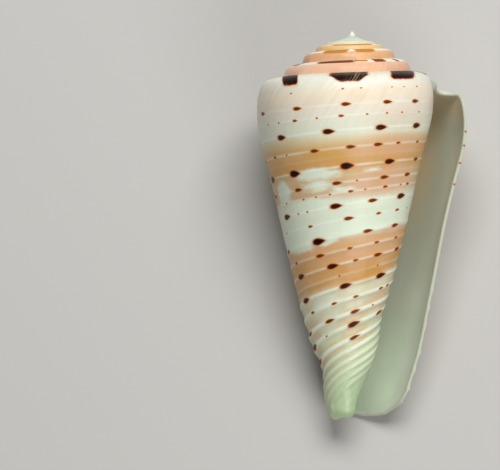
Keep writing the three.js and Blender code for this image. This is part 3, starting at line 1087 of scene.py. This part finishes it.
class GrowthLines(EffectGroup):
    """Fine lines left by pauses in growth, slanting forward down the side."""

    name = "growth lines"
    sockets = (
        GroupSocket("Turns"),
        GroupSocket("Lip depth"),
        GroupSocket("Lines", start=95.0),
        GroupSocket("Slant", start=0.006),
        GroupSocket("Relief", output=True),
        GroupSocket("Streaks", output=True),
    )

    def fill(self) -> None:
        """Stretches noise along lines of equal age."""
        graph = self.graph
        high = graph.math("MINIMUM", self.read("Lip depth"), 20.0)
        age = graph.math("SUBTRACT", self.read("Turns"), graph.math("MULTIPLY", high, self.read("Slant")))
        fine = graph.vector(
            graph.math("MULTIPLY", age, self.read("Lines")),
            graph.math("MULTIPLY", self.read("Lip depth"), 0.05),
            0.0,
        )
        self.give("Relief", graph.noise(fine, 3.0, 4.0, 0.65))
        coarse = graph.vector(
            graph.math("MULTIPLY", age, self.read("Lines")), graph.math(
                "MULTIPLY", self.read("Lip depth"), 0.09
            ), 7.3
        )
        self.give("Streaks", graph.span(graph.noise(coarse, 1.1, 3.0, 0.6), 0.35, 0.7))


class Mottling(EffectGroup):
    """Cloudy variation, as in any natural shell."""

    name = "mottling"
    sockets = (
        GroupSocket("Turns"),
        GroupSocket("Lip depth"),
        GroupSocket("Patches", start=6.0),
        GroupSocket("Cloud", output=True),
        GroupSocket("Fringe", output=True),
        GroupSocket("Grain", output=True),
    )

    def fill(self) -> None:
        """Makes a broad cloud, a fringe for patches and a fine grain that follow the growth."""
        graph = self.graph
        place = graph.vector(
            graph.math("MULTIPLY", self.read("Turns"), self.read("Patches")),
            graph.math("MULTIPLY", self.read("Lip depth"), 0.16),
            2.1,
        )
        self.give("Cloud", graph.noise(place, 1.0, 3.0, 0.55))
        fringe = graph.vector(
            graph.math("MULTIPLY", self.read("Turns"), 34.0), graph.math(
                "MULTIPLY", self.read("Lip depth"), 0.9
            ), 5.2
        )
        self.give("Fringe", graph.noise(fringe, 1.0, 3.0, 0.6))
        fine = graph.node("ShaderNodeTexCoord")
        self.give("Grain", graph.noise(fine.outputs["Object"], 1400.0, 2.0, 0.6))


class DashInk(EffectGroup):
    """A dash's dark core, its red-brown rim and its orange halo."""

    name = "dash ink"
    sockets = (
        GroupSocket("Along"),
        GroupSocket("Across"),
        GroupSocket("Square"),
        GroupSocket("Ragged"),
        GroupSocket("Core", output=True),
        GroupSocket("Rim", output=True),
        GroupSocket("Halo", output=True),
    )

    def fill(self) -> None:
        """Measures the distance from the middle: a dash is pointed at its older end, a blotch square."""
        graph = self.graph
        square = graph.math("MINIMUM", self.read("Square"), 1.0)
        wedge = graph.math("SUBTRACT", self.read("Square"), 1.0, clamp=True)
        older = graph.math(
            "MULTIPLY", graph.span(self.read("Along"), 0.3, -0.3), graph.math("SUBTRACT", 1.0, square)
        )
        down = graph.math("MAXIMUM", self.read("Across"), graph.math("MULTIPLY_ADD", square, 20.0, -20.0))
        power = graph.math("MULTIPLY_ADD", square, 3.6, 2.3)
        power = graph.math("SUBTRACT", power, graph.math("MULTIPLY", older, 0.95))
        low = graph.math("MAXIMUM", graph.math("SUBTRACT", self.read("Across"), 0.35), 0.0)
        taper = graph.math("MULTIPLY_ADD", graph.math("MULTIPLY", wedge, low), 0.95, 1.0)
        along = graph.math("MULTIPLY", graph.math("ABSOLUTE", self.read("Along")), taper)
        along = graph.math("MULTIPLY", along, graph.math("MULTIPLY_ADD", older, -0.22, 1.1))
        along = graph.math("POWER", along, power)
        across = graph.math("POWER", graph.math("ABSOLUTE", down), power)
        distance = graph.math("POWER", graph.math("ADD", along, across), graph.math("DIVIDE", 1.0, power))
        distance = graph.math("ADD", graph.math("SUBTRACT", distance, 0.95), self.read("Ragged"))
        distance = graph.math("DIVIDE", distance, graph.math("MULTIPLY_ADD", square, -0.7, 1.0))
        self.give("Core", graph.span(distance, 0.0, -0.2))
        self.give("Rim", graph.span(distance, 0.3, 0.05))
        self.give("Halo", graph.span(distance, 0.9, 0.1))


@dataclass(frozen=True)
class PorcelainFinish:
    """Colours and gloss of the shell's outside."""

    bands: tuple[tuple[float, str], ...] = (
        (9.2, "eaeadc"),
        (11.4, "ece8d8"),
        (13.8, "eee0c6"),
        (16.4, "e9ddca"),
        (19.0, "e2e1ce"),
        (22.4, "dee2ca"),
        (23.6, "dac798"),
        (25.2, "d2a25c"),
        (29.2, "cd9a54"),
        (30.8, "ceab7a"),
        (34.6, "cfac82"),
        (36.6, "dbe0c8"),
        (43.4, "dde9d2"),
        (44.9, "d2a470"),
        (49.0, "cd985c"),
        (53.2, "c9944c"),
        (55.0, "d9d8b8"),
        (59.0, "d6ddc0"),
        (67.0, "cddab2"),
        (74.0, "bdd2a6"),
        (82.0, "a8c092"),
        (99.0, "9ab28a"),
    )
    spire: tuple[tuple[float, str], ...] = (
        (-7.4, "bccabb"),
        (-5.4, "d4dfcf"),
        (-4.7, "eee0b8"),
        (-3.9, "eecb8c"),
        (-3.0, "e9b380"),
        (-2.2, "ebb08a"),
        (-1.4, "f3c6a4"),
        (-0.9, "f5d0b2"),
    )
    # White of the thread crests; on the front cords partly a painted highlight for their glints.
    thread: str = "eef4e4"
    furrow: str = "d2a066"
    ledge: str = "f7f6ea"
    core: str = "1f0602"
    rim: str = "8a3607"
    halo: str = "cf8430"
    rust: str = "b5560a"
    ochre: str = "c4821f"
    streak: str = "b9a888"
    blush: str = "d8a985"
    pale: str = "dfe8d2"
    bloom: str = "f1f3e6"
    worn: str = "a8967c"
    rim_edge: str = "c4c8b4"
    inside: str = "b9b7a2"
    inner_edge: str = "b9bfac"
    roughness: float = 0.36
    gloss: float = 0.22
    coat_roughness: float = 0.16
    specular: float = 0.1
    crest_white_and_glint_strength: float = 0.8
    relief_strength: float = 0.5
    relief_depth: float = 0.00012


@dataclass(frozen=True)
class GlazeFinish:
    """Colours and gloss of the aperture's inner face."""

    lip: str = "d6dccb"
    near: str = "bdc2af"
    # Painted shade and light: tan tint for the shadow deep inside, kept pale to lift the cavity's real
    # shadow.
    deep_shade_tint: str = "efcd92"
    front: str = "bccbb0"
    end: str = "8c9c82"
    # Painted light: near-white that lifts the shade in the ear corner under the shoulder.
    ear_painted_light: str = "f1e6cc"
    streak: str = "a9a58c"
    roughness: float = 0.22
    gloss: float = 0.5
    coat_roughness: float = 0.08
    relief_strength: float = 0.25
    relief_depth: float = 0.0001


class Effects:
    """The node groups that the materials share."""

    def __init__(self) -> None:
        """Builds each group once."""
        self.lines = GrowthLines().tree
        self.mottling = Mottling().tree
        self.dash = DashInk().tree


class ShellMaterial:
    """A material of the shell: a Principled shader fed by the shell's own growth values."""

    def __init__(self, name: str, effects: Effects) -> None:
        """Makes the material and reads the growth values.

        Args:
            name: The material's name.
            effects: The shared node groups.
        """
        self.material = bpy.data.materials.new(name)
        self.material.use_nodes = True
        self.effects = effects
        self.graph = Graph(self.material.node_tree)
        nodes = self.material.node_tree.nodes
        self.shader = nodes["Principled BSDF"]
        self.turns, self.lip_depth, self.glaze = self.graph.parts("growth")

    def relief(self, height: object, strength: float, distance: float) -> None:
        """Feeds a bump of the given height to the shader."""
        bump = self.graph.node("ShaderNodeBump")
        self.graph.put(bump.inputs["Strength"], strength)
        self.graph.put(bump.inputs["Distance"], distance)
        self.graph.put(bump.inputs["Height"], height)
        self.graph.put(self.shader.inputs["Normal"], bump.outputs[0])

    def set(self, socket: str, value: object) -> None:
        """Sets or feeds one of the shader's sockets."""
        self.graph.put(self.shader.inputs[socket], value)


class Porcelain(ShellMaterial):
    """The outside: colour bands, white threads, brown dashes and growth lines; on the front cords the white
    crests are partly a painted highlight.
    """

    def __init__(self, finish: PorcelainFinish, effects: Effects) -> None:
        """Builds the material from its finish."""
        super().__init__("shell_porcelain", effects)
        self.finish = finish
        graph = self.graph
        lines = graph.group(effects.lines, turns=self.turns, lip_depth=self.lip_depth)
        clouds = graph.group(effects.mottling, turns=self.turns, lip_depth=self.lip_depth)
        offset, crest, tone = graph.parts("thread")
        thread = self.crest_white_and_glint_mask(offset, crest, clouds)
        colour = self.ground(lines, clouds)
        colour = self.tint_furrows(colour, thread, clouds)
        below_apex = graph.math(
            "MULTIPLY", self.lip_depth, graph.math("POWER", Growth.whorl_ratio, self.turns)
        )
        fading = graph.span(below_apex, 62.0, 52.0, 0.15, 1.0)
        # The crest white is partly painted highlight: on the front cords it stands in for glints.
        strength = graph.math("MULTIPLY", graph.math("MULTIPLY", thread, fading), finish.crest_white_and_glint_strength)
        colour = graph.blend(strength, colour, paint(finish.thread))
        hidden = graph.span(self.turns, -1.0, -1.03)
        inside = graph.blend(hidden, paint(finish.rim_edge), graph.blend(0.55, colour, paint(finish.inside)))
        colour = graph.blend(graph.span(self.glaze, 0.0, 0.25), colour, inside)
        inner_edge = graph.math(
            "MULTIPLY", graph.span(self.glaze, 0.3, 0.6), graph.math("SUBTRACT", 1.0, hidden)
        )
        colour = graph.blend(inner_edge, colour, paint(finish.inner_edge))
        covered = graph.math(
            "MAXIMUM", graph.math("MULTIPLY", hidden, self.glaze), graph.span(self.glaze, 0.5, 0.65)
        )
        shown = graph.math("SUBTRACT", 1.0, covered, clamp=True)
        colour, dark = self.ink(colour, clouds, lines, tone, shown)
        self.set("Base Color", colour)
        rough = graph.math("ADD", graph.math("MULTIPLY", clouds["Cloud"], 0.16), finish.roughness - 0.08)
        self.set("Roughness", graph.math("ADD", rough, graph.math("MULTIPLY", lines["Relief"], 0.06)))
        gloss = graph.math("MULTIPLY", graph.math("MULTIPLY_ADD", dark, -0.85, 1.0), finish.gloss)
        gloss = graph.math("MULTIPLY", gloss, graph.span(self.lip_depth, 46.0, 62.0, 1.0, 2.6))
        self.set("Coat Weight", gloss)
        self.set("Coat Roughness", finish.coat_roughness)
        self.set("Specular IOR Level", finish.specular)
        height = graph.math(
            "MULTIPLY", lines["Relief"], graph.span(self.lip_depth, *SHOULDER_FADE, 0.06, 1.0)
        )
        height = graph.math("ADD", height, graph.math("MULTIPLY", thread, 0.5))
        height = graph.math("ADD", height, graph.math("MULTIPLY", self.striae(), 0.3))
        self.relief(height, finish.relief_strength, finish.relief_depth)

    def crest_white_and_glint_mask(self, offset: object, crest: object, clouds: dict) -> bpy.types.NodeSocket:
        """White along the crest of a thread or cord, broken here and there: the threads' own white, and on
        the wider front cords also a painted highlight for their glints.
        """
        graph = self.graph
        width = graph.span(self.lip_depth, 50.0, 64.0, 0.34, 0.62)
        line = graph.span(graph.math("DIVIDE", graph.math("ABSOLUTE", offset), width), 1.0, 0.15)
        broken = graph.span(clouds["Cloud"], 0.3, 0.6, 0.4, 1.0)
        return graph.math("MULTIPLY", graph.math("MULTIPLY", line, crest), broken)

    def striae(self) -> bpy.types.NodeSocket:
        """Very fine spiral scratches, strongest near the shoulder."""
        graph = self.graph
        place = graph.vector(
            graph.math("MULTIPLY", self.turns, 3.0), graph.math("MULTIPLY", self.lip_depth, 4.0), 0.0
        )
        return graph.math(
            "MULTIPLY", graph.noise(place, 1.0, 2.0, 0.5), graph.span(self.lip_depth, 24.0, 12.0, 0.3, 1.0)
        )

    def ground(self, lines: dict, clouds: dict) -> bpy.types.NodeSocket:
        """Colour bands of the body whorl, and the spire's own colours above them."""
        graph = self.graph
        shifted = graph.math(
            "ADD", self.lip_depth, graph.math("MULTIPLY", graph.math("SUBTRACT", clouds["Cloud"], 0.5), 2.4)
        )
        body = graph.ramp(shifted, self.finish.bands, 9.0, 100.0)
        spire = graph.ramp(self.turns, self.finish.spire, -8.0, 0.0)
        ledge = graph.span(self.lip_depth, 9.98, 9.88)
        spire = graph.blend(ledge, spire, paint(self.finish.ledge))
        colour = graph.blend(graph.span(self.turns, -0.98, -1.02), body, spire)
        pale = graph.span(clouds["Cloud"], 0.35, 0.7)
        colour = graph.blend(graph.math("MULTIPLY", pale, 0.12), colour, paint(self.finish.bloom))
        white, blush, _ = graph.parts("cloud")
        fringe = graph.math("MULTIPLY_ADD", clouds["Fringe"], 1.2, -0.6)
        white = graph.span(graph.math("ADD", white, fringe), 0.15, 0.95)
        blush = graph.span(graph.math("MULTIPLY_ADD", fringe, 0.4, blush), 0.1, 1.1, 0.0, 0.65)
        colour = graph.blend(blush, colour, paint(self.finish.blush))
        colour = graph.blend(white, colour, paint(self.finish.pale))
        streaks = graph.math(
            "MULTIPLY", lines["Streaks"], graph.span(self.lip_depth, *SHOULDER_FADE, 0.05, 0.12)
        )
        return graph.blend(streaks, colour, paint(self.finish.streak), "MULTIPLY")

    def tint_furrows(self, colour: object, thread: object, clouds: dict) -> bpy.types.NodeSocket:
        """Warm tints in the furrows between the front cords."""
        graph = self.graph
        low = graph.span(self.lip_depth, 52.0, 60.0)
        furrow = graph.math("MULTIPLY", graph.math("SUBTRACT", 1.0, thread), low)
        amount = graph.math("MULTIPLY", furrow, graph.span(clouds["Cloud"], 0.4, 0.62, 0.1, 0.6))
        amount = graph.math("MULTIPLY", amount, graph.span(self.lip_depth, 78.0, 64.0))
        return graph.blend(amount, colour, paint(self.finish.furrow))

    def ink(
        self, colour: object, clouds: dict, lines: dict, tone: object, shown: object
    ) -> tuple[object, object]:
        """Lays the dashes and blotches over the ground, and tells where they are dark."""
        graph = self.graph
        along, across, square = graph.parts("dash")
        ragged = graph.math("MULTIPLY", graph.math("SUBTRACT", clouds["Grain"], 0.5), 0.2)
        dash = graph.group(self.effects.dash, along=along, across=across, square=square, ragged=ragged)
        halo = graph.math("MULTIPLY", graph.math("MULTIPLY", dash["Halo"], 0.5), shown)
        colour = graph.blend(halo, colour, paint(self.finish.halo))
        light = graph.math("MULTIPLY", tone, 1.0, clamp=True)
        rim = graph.blend(light, paint(self.finish.rim), paint(self.finish.halo))
        colour = graph.blend(graph.math("MULTIPLY", dash["Rim"], shown), colour, rim)
        core = graph.blend(tone, paint(self.finish.core), paint(self.finish.rust))
        core = graph.blend(graph.span(tone, 1.0, 2.0), core, paint(self.finish.ochre))
        wedge = graph.math("SUBTRACT", square, 1.0, clamp=True)
        worn = graph.math("MULTIPLY", wedge, graph.span(lines["Relief"], 0.5, 0.58, 0.0, 0.6))
        core = graph.blend(
            graph.math("MULTIPLY", worn, graph.span(along, 0.3, -0.3)), core, paint(self.finish.worn)
        )
        dark = graph.math("MULTIPLY", dash["Core"], shown)
        return graph.blend(dark, colour, core), dark


class ApertureGlaze(ShellMaterial):
    """The inside: smooth grey-white glaze, with a painted tan shade tint deep inside that is kept pale to
    lift the cavity's real shadow, and painted light in the ear corner.
    """

    def __init__(self, finish: GlazeFinish, effects: Effects) -> None:
        """Builds the material from its finish."""
        super().__init__("aperture_glaze", effects)
        graph = self.graph
        lines = graph.group(effects.lines, turns=self.turns, lip_depth=self.lip_depth, lines=24.0, slant=0.0)
        clouds = graph.group(effects.mottling, turns=self.turns, lip_depth=self.lip_depth, patches=4.0)
        depth = graph.math(
            "ADD", self.turns, graph.math("MULTIPLY", graph.math("SUBTRACT", clouds["Cloud"], 0.5), 0.05)
        )
        shallow = graph.span(depth, -0.1, -0.01, 0.0, 0.8)
        # Painted shade and light: a tan tint deep under the shoulder where shadow falls, kept pale to lift
        # the real shadow there.
        deep_shade_mask = graph.math("MULTIPLY", graph.span(depth, -0.03, -0.2), graph.span(self.lip_depth, 42.0, 22.0))
        colour = graph.blend(deep_shade_mask, paint(finish.near), paint(finish.deep_shade_tint))
        colour = graph.blend(graph.span(self.lip_depth, 40.0, 62.0), colour, paint(finish.front))
        colour = graph.blend(shallow, colour, paint(finish.lip))
        colour = graph.blend(graph.span(self.lip_depth, 62.0, 76.0), colour, paint(finish.end))
        # Painted light: the ear corner under the shoulder is painted near-white to lift the shade that falls
        # there.
        ear_painted_light = graph.math(
            "MULTIPLY", graph.span(self.lip_depth, 17.0, 12.5), graph.span(self.turns, -0.16, -0.06)
        )
        colour = graph.blend(graph.math("MULTIPLY", ear_painted_light, 0.85), colour, paint(finish.ear_painted_light))
        colour = graph.blend(
            graph.math("MULTIPLY", lines["Streaks"], 0.05), colour, paint(finish.streak), "MULTIPLY"
        )
        self.set("Base Color", colour)
        rough = graph.math("MULTIPLY", clouds["Cloud"], 0.12)
        self.set("Roughness", graph.math("ADD", rough, finish.roughness - 0.05))
        self.set("Coat Weight", finish.gloss)
        self.set("Coat Roughness", finish.coat_roughness)
        height = graph.math("ADD", lines["Relief"], graph.math("MULTIPLY", clouds["Grain"], 0.2))
        self.relief(height, finish.relief_strength, finish.relief_depth)


@dataclass
class ConeShell:
    """The whole shell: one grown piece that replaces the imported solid."""

    growth: Growth
    name: str = "cone_shell"

    def build(self) -> bpy.types.Object:
        """Builds the mesh, writes its growth values and dresses it.

        Returns:
            The finished object, riding on the root body.
        """
        surface = ShellSurface(self.growth)
        store = surface.build()
        mesh = self.make_mesh(store, surface)
        piece = bpy.data.objects.new(self.name, mesh)
        bpy.context.scene.collection.objects.link(piece)
        effects = Effects()
        mesh.materials.append(Porcelain(PorcelainFinish(), effects).material)
        mesh.materials.append(ApertureGlaze(GlazeFinish(), effects).material)
        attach(piece, "root")
        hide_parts("shell")
        LOG.info("%s: %d faces, %d points", self.name, len(mesh.polygons), len(mesh.vertices))
        return piece

    def laid_down(self, points: np.ndarray) -> np.ndarray:
        """Centres the points over the origin, wears the flat spot and changes to metres."""
        low, high = points.min(axis=0), points.max(axis=0)
        shift = np.array(
            [(low[0] + high[0]) / 2, (low[1] + high[1]) / 2, low[2] + self.growth.flat_spot_depth]
        )
        placed = points - shift
        placed[:, 2] = np.maximum(placed[:, 2], 0.0)
        return placed * MM

    def make_mesh(self, store: FaceStore, surface: ShellSurface) -> bpy.types.Mesh:
        """Turns the stored faces into a mesh with smooth shading and corner values."""
        lengths = np.concatenate(store.lengths)
        corners = np.concatenate(store.corners)
        values = np.concatenate(store.values)
        marked = np.concatenate(store.marked)
        starts = np.concatenate([[0], np.cumsum(lengths)[:-1]])
        points = self.laid_down(np.vstack(store.points))
        used, corners = np.unique(corners, return_inverse=True)
        sutures = np.searchsorted(used, np.concatenate(surface.suture))
        mesh = bpy.data.meshes.new(self.name)
        mesh.vertices.add(len(used))
        mesh.vertices.foreach_set("co", points[used].ravel())
        mesh.loops.add(len(corners))
        mesh.loops.foreach_set("vertex_index", corners.astype(np.int32))
        mesh.polygons.add(len(lengths))
        mesh.polygons.foreach_set("loop_start", starts.astype(np.int32))
        mesh.polygons.foreach_set("material_index", np.concatenate(store.finish).astype(np.int32))
        mesh.update(calc_edges=True)
        mesh.polygons.foreach_set("use_smooth", np.ones(len(lengths), bool))
        self.write_values(mesh, lengths, starts, values, marked)
        self.sharpen(mesh, sutures)
        mesh.validate()
        return mesh

    def write_values(
        self,
        mesh: bpy.types.Mesh,
        lengths: np.ndarray,
        starts: np.ndarray,
        values: np.ndarray,
        marked: np.ndarray,
    ) -> None:
        """Writes growth, dash and thread values to the face corners."""
        markings = Markings(self.growth)
        spots = starts[:, None] + np.minimum(np.arange(4)[None, :], lengths[:, None] - 1)
        angle = values[spots][..., 0] * TURN
        arc = self.growth.arc_of(self.growth.place_of(values[spots][..., 1]))
        size = self.growth.size(angle)
        radii = self.growth.section(self.growth.place_of(values[spots][..., 1]), angle)[1]
        dash = markings.nearest_dash(angle, arc, size, np.maximum(radii, 0.2))
        thread = markings.nearest_thread(angle, arc, size)
        dash[~marked] = (FAR_AWAY, FAR_AWAY, 0.0, 0.0)
        thread[~marked] = (FAR_AWAY, 0.0)
        cloud = markings.clouds(angle, values[spots][..., 1])
        at_corners = {
            "growth": values,
            "cloud": np.zeros((len(values), 3)),
            "dash": np.zeros((len(values), 3)),
            "thread": np.zeros((len(values), 3)),
        }
        at_corners["cloud"][spots] = cloud
        at_corners["dash"][spots] = dash[..., :3]
        at_corners["thread"][spots] = np.concatenate([thread, dash[..., 3:]], axis=-1)
        for name, data in at_corners.items():
            layer = mesh.attributes.new(name, "FLOAT_VECTOR", "CORNER")
            layer.data.foreach_set("vector", data.astype(np.float32).ravel())

    def sharpen(self, mesh: bpy.types.Mesh, sutures: np.ndarray) -> None:
        """Keeps the step at every suture crisp."""
        pairs = np.zeros(len(mesh.edges) * 2, np.int32)
        mesh.edges.foreach_get("vertices", pairs)
        pairs = np.sort(pairs.reshape(-1, 2), axis=1).astype(np.int64)
        wanted = np.sort(np.stack([sutures[:-1], sutures[1:]], axis=1), axis=1).astype(np.int64)
        count = len(mesh.vertices)
        sharp = np.isin(pairs[:, 0] * count + pairs[:, 1], wanted[:, 0] * count + wanted[:, 1])
        mesh.edges.foreach_set("use_edge_sharp", sharp)


@dataclass
class Studio:
    """A plain pale floor, soft lights and the camera at the photograph's angle."""

    growth: Growth
    pixel: float = 0.00017
    elevation: float = 76.5
    lens: float = 450.0
    image_width: int = 500
    key_power: float = 3.0
    fill_power: float = 1.0
    sky_strength: float = 0.17

    def build(self, apex: Vector) -> None:
        """Sets up the floor, the lights and the camera.

        Args:
            apex: The tip of the spire.
        """
        self.make_floor()
        self.make_lights()
        self.make_camera(apex)
        bpy.context.scene.view_settings.view_transform = "Standard"

    def make_floor(self) -> None:
        """Lays a plain matt floor."""
        mesh = bpy.data.meshes.new("floor")
        half = 1.5
        mesh.from_pydata(
            [(-half, -half, 0), (half, -half, 0), (half, half, 0), (-half, half, 0)], [], [(0, 1, 2, 3)]
        )
        floor = bpy.data.objects.new("floor", mesh)
        bpy.context.scene.collection.objects.link(floor)
        material = bpy.data.materials.new("floor_paper")
        material.use_nodes = True
        shader = material.node_tree.nodes["Principled BSDF"]
        shader.inputs["Base Color"].default_value = paint("bcbab6")
        shader.inputs["Roughness"].default_value = 0.85
        mesh.materials.append(material)

    def add_light(
        self, name: str, place: tuple[float, float, float], size: tuple[float, float], power: float
    ) -> None:
        """Adds a rectangular soft light that shines on the shell."""
        light = bpy.data.lights.new(name, "AREA")
        light.shape = "RECTANGLE"
        light.size, light.size_y = size
        light.energy = power
        lamp = bpy.data.objects.new(name, light)
        lamp.location = place
        lamp.rotation_mode = "QUATERNION"
        lamp.rotation_quaternion = (Vector((0, 0, 0.015)) - Vector(place)).to_track_quat("-Z", "Y")
        bpy.context.scene.collection.objects.link(lamp)

    def make_lights(self) -> None:
        """Places the key light above, beyond the spire, a weaker fill at the front, and a dim sky."""
        self.add_light("key", (0.06, 0.26, 0.48), (0.42, 0.26), self.key_power)
        self.add_light("fill", (0.16, -0.36, 0.3), (0.3, 0.3), self.fill_power)
        world = bpy.data.worlds.new("studio")
        world.use_nodes = True
        background = world.node_tree.nodes["Background"]
        background.inputs["Color"].default_value = paint("f1f3f4")
        background.inputs["Strength"].default_value = self.sky_strength
        bpy.context.scene.world = world

    def make_camera(self, apex: Vector) -> None:
        """Aims the camera so that the shell lies in the frame as in the photograph."""
        tilt = math.radians(self.elevation)
        back = Vector((0, -math.cos(tilt), math.sin(tilt)))
        up = Vector((0, math.sin(tilt), math.cos(tilt)))
        aim = apex + Vector((1, 0, 0)) * (250 - 352) * self.pixel - up * (235 - 31) * self.pixel
        data = bpy.data.cameras.new("camera")
        data.sensor_width = 36.0
        data.lens = self.lens
        data.clip_start, data.clip_end = 0.05, 10.0
        camera = bpy.data.objects.new("camera", data)
        distance = self.lens / data.sensor_width * self.image_width * self.pixel
        camera.location = aim + back * distance
        camera.rotation_mode = "QUATERNION"
        right = Vector((1, 0, 0))
        camera.rotation_quaternion = Matrix((right, up, back)).transposed().to_quaternion()
        bpy.context.scene.collection.objects.link(camera)
        bpy.context.scene.camera = camera


def main() -> None:
    """Builds the shell and its studio."""
    logging.basicConfig(level=logging.INFO, format="%(message)s")
    growth = Growth()
    shell = ConeShell(growth).build()
    points = [vertex.co for vertex in shell.data.vertices]
    apex = max(points, key=lambda point: point.y)
    Studio(growth).build(Vector(apex))
    LOG.info("apex at %s", tuple(round(c, 5) for c in apex))


if __name__ == "__main__":
    main()
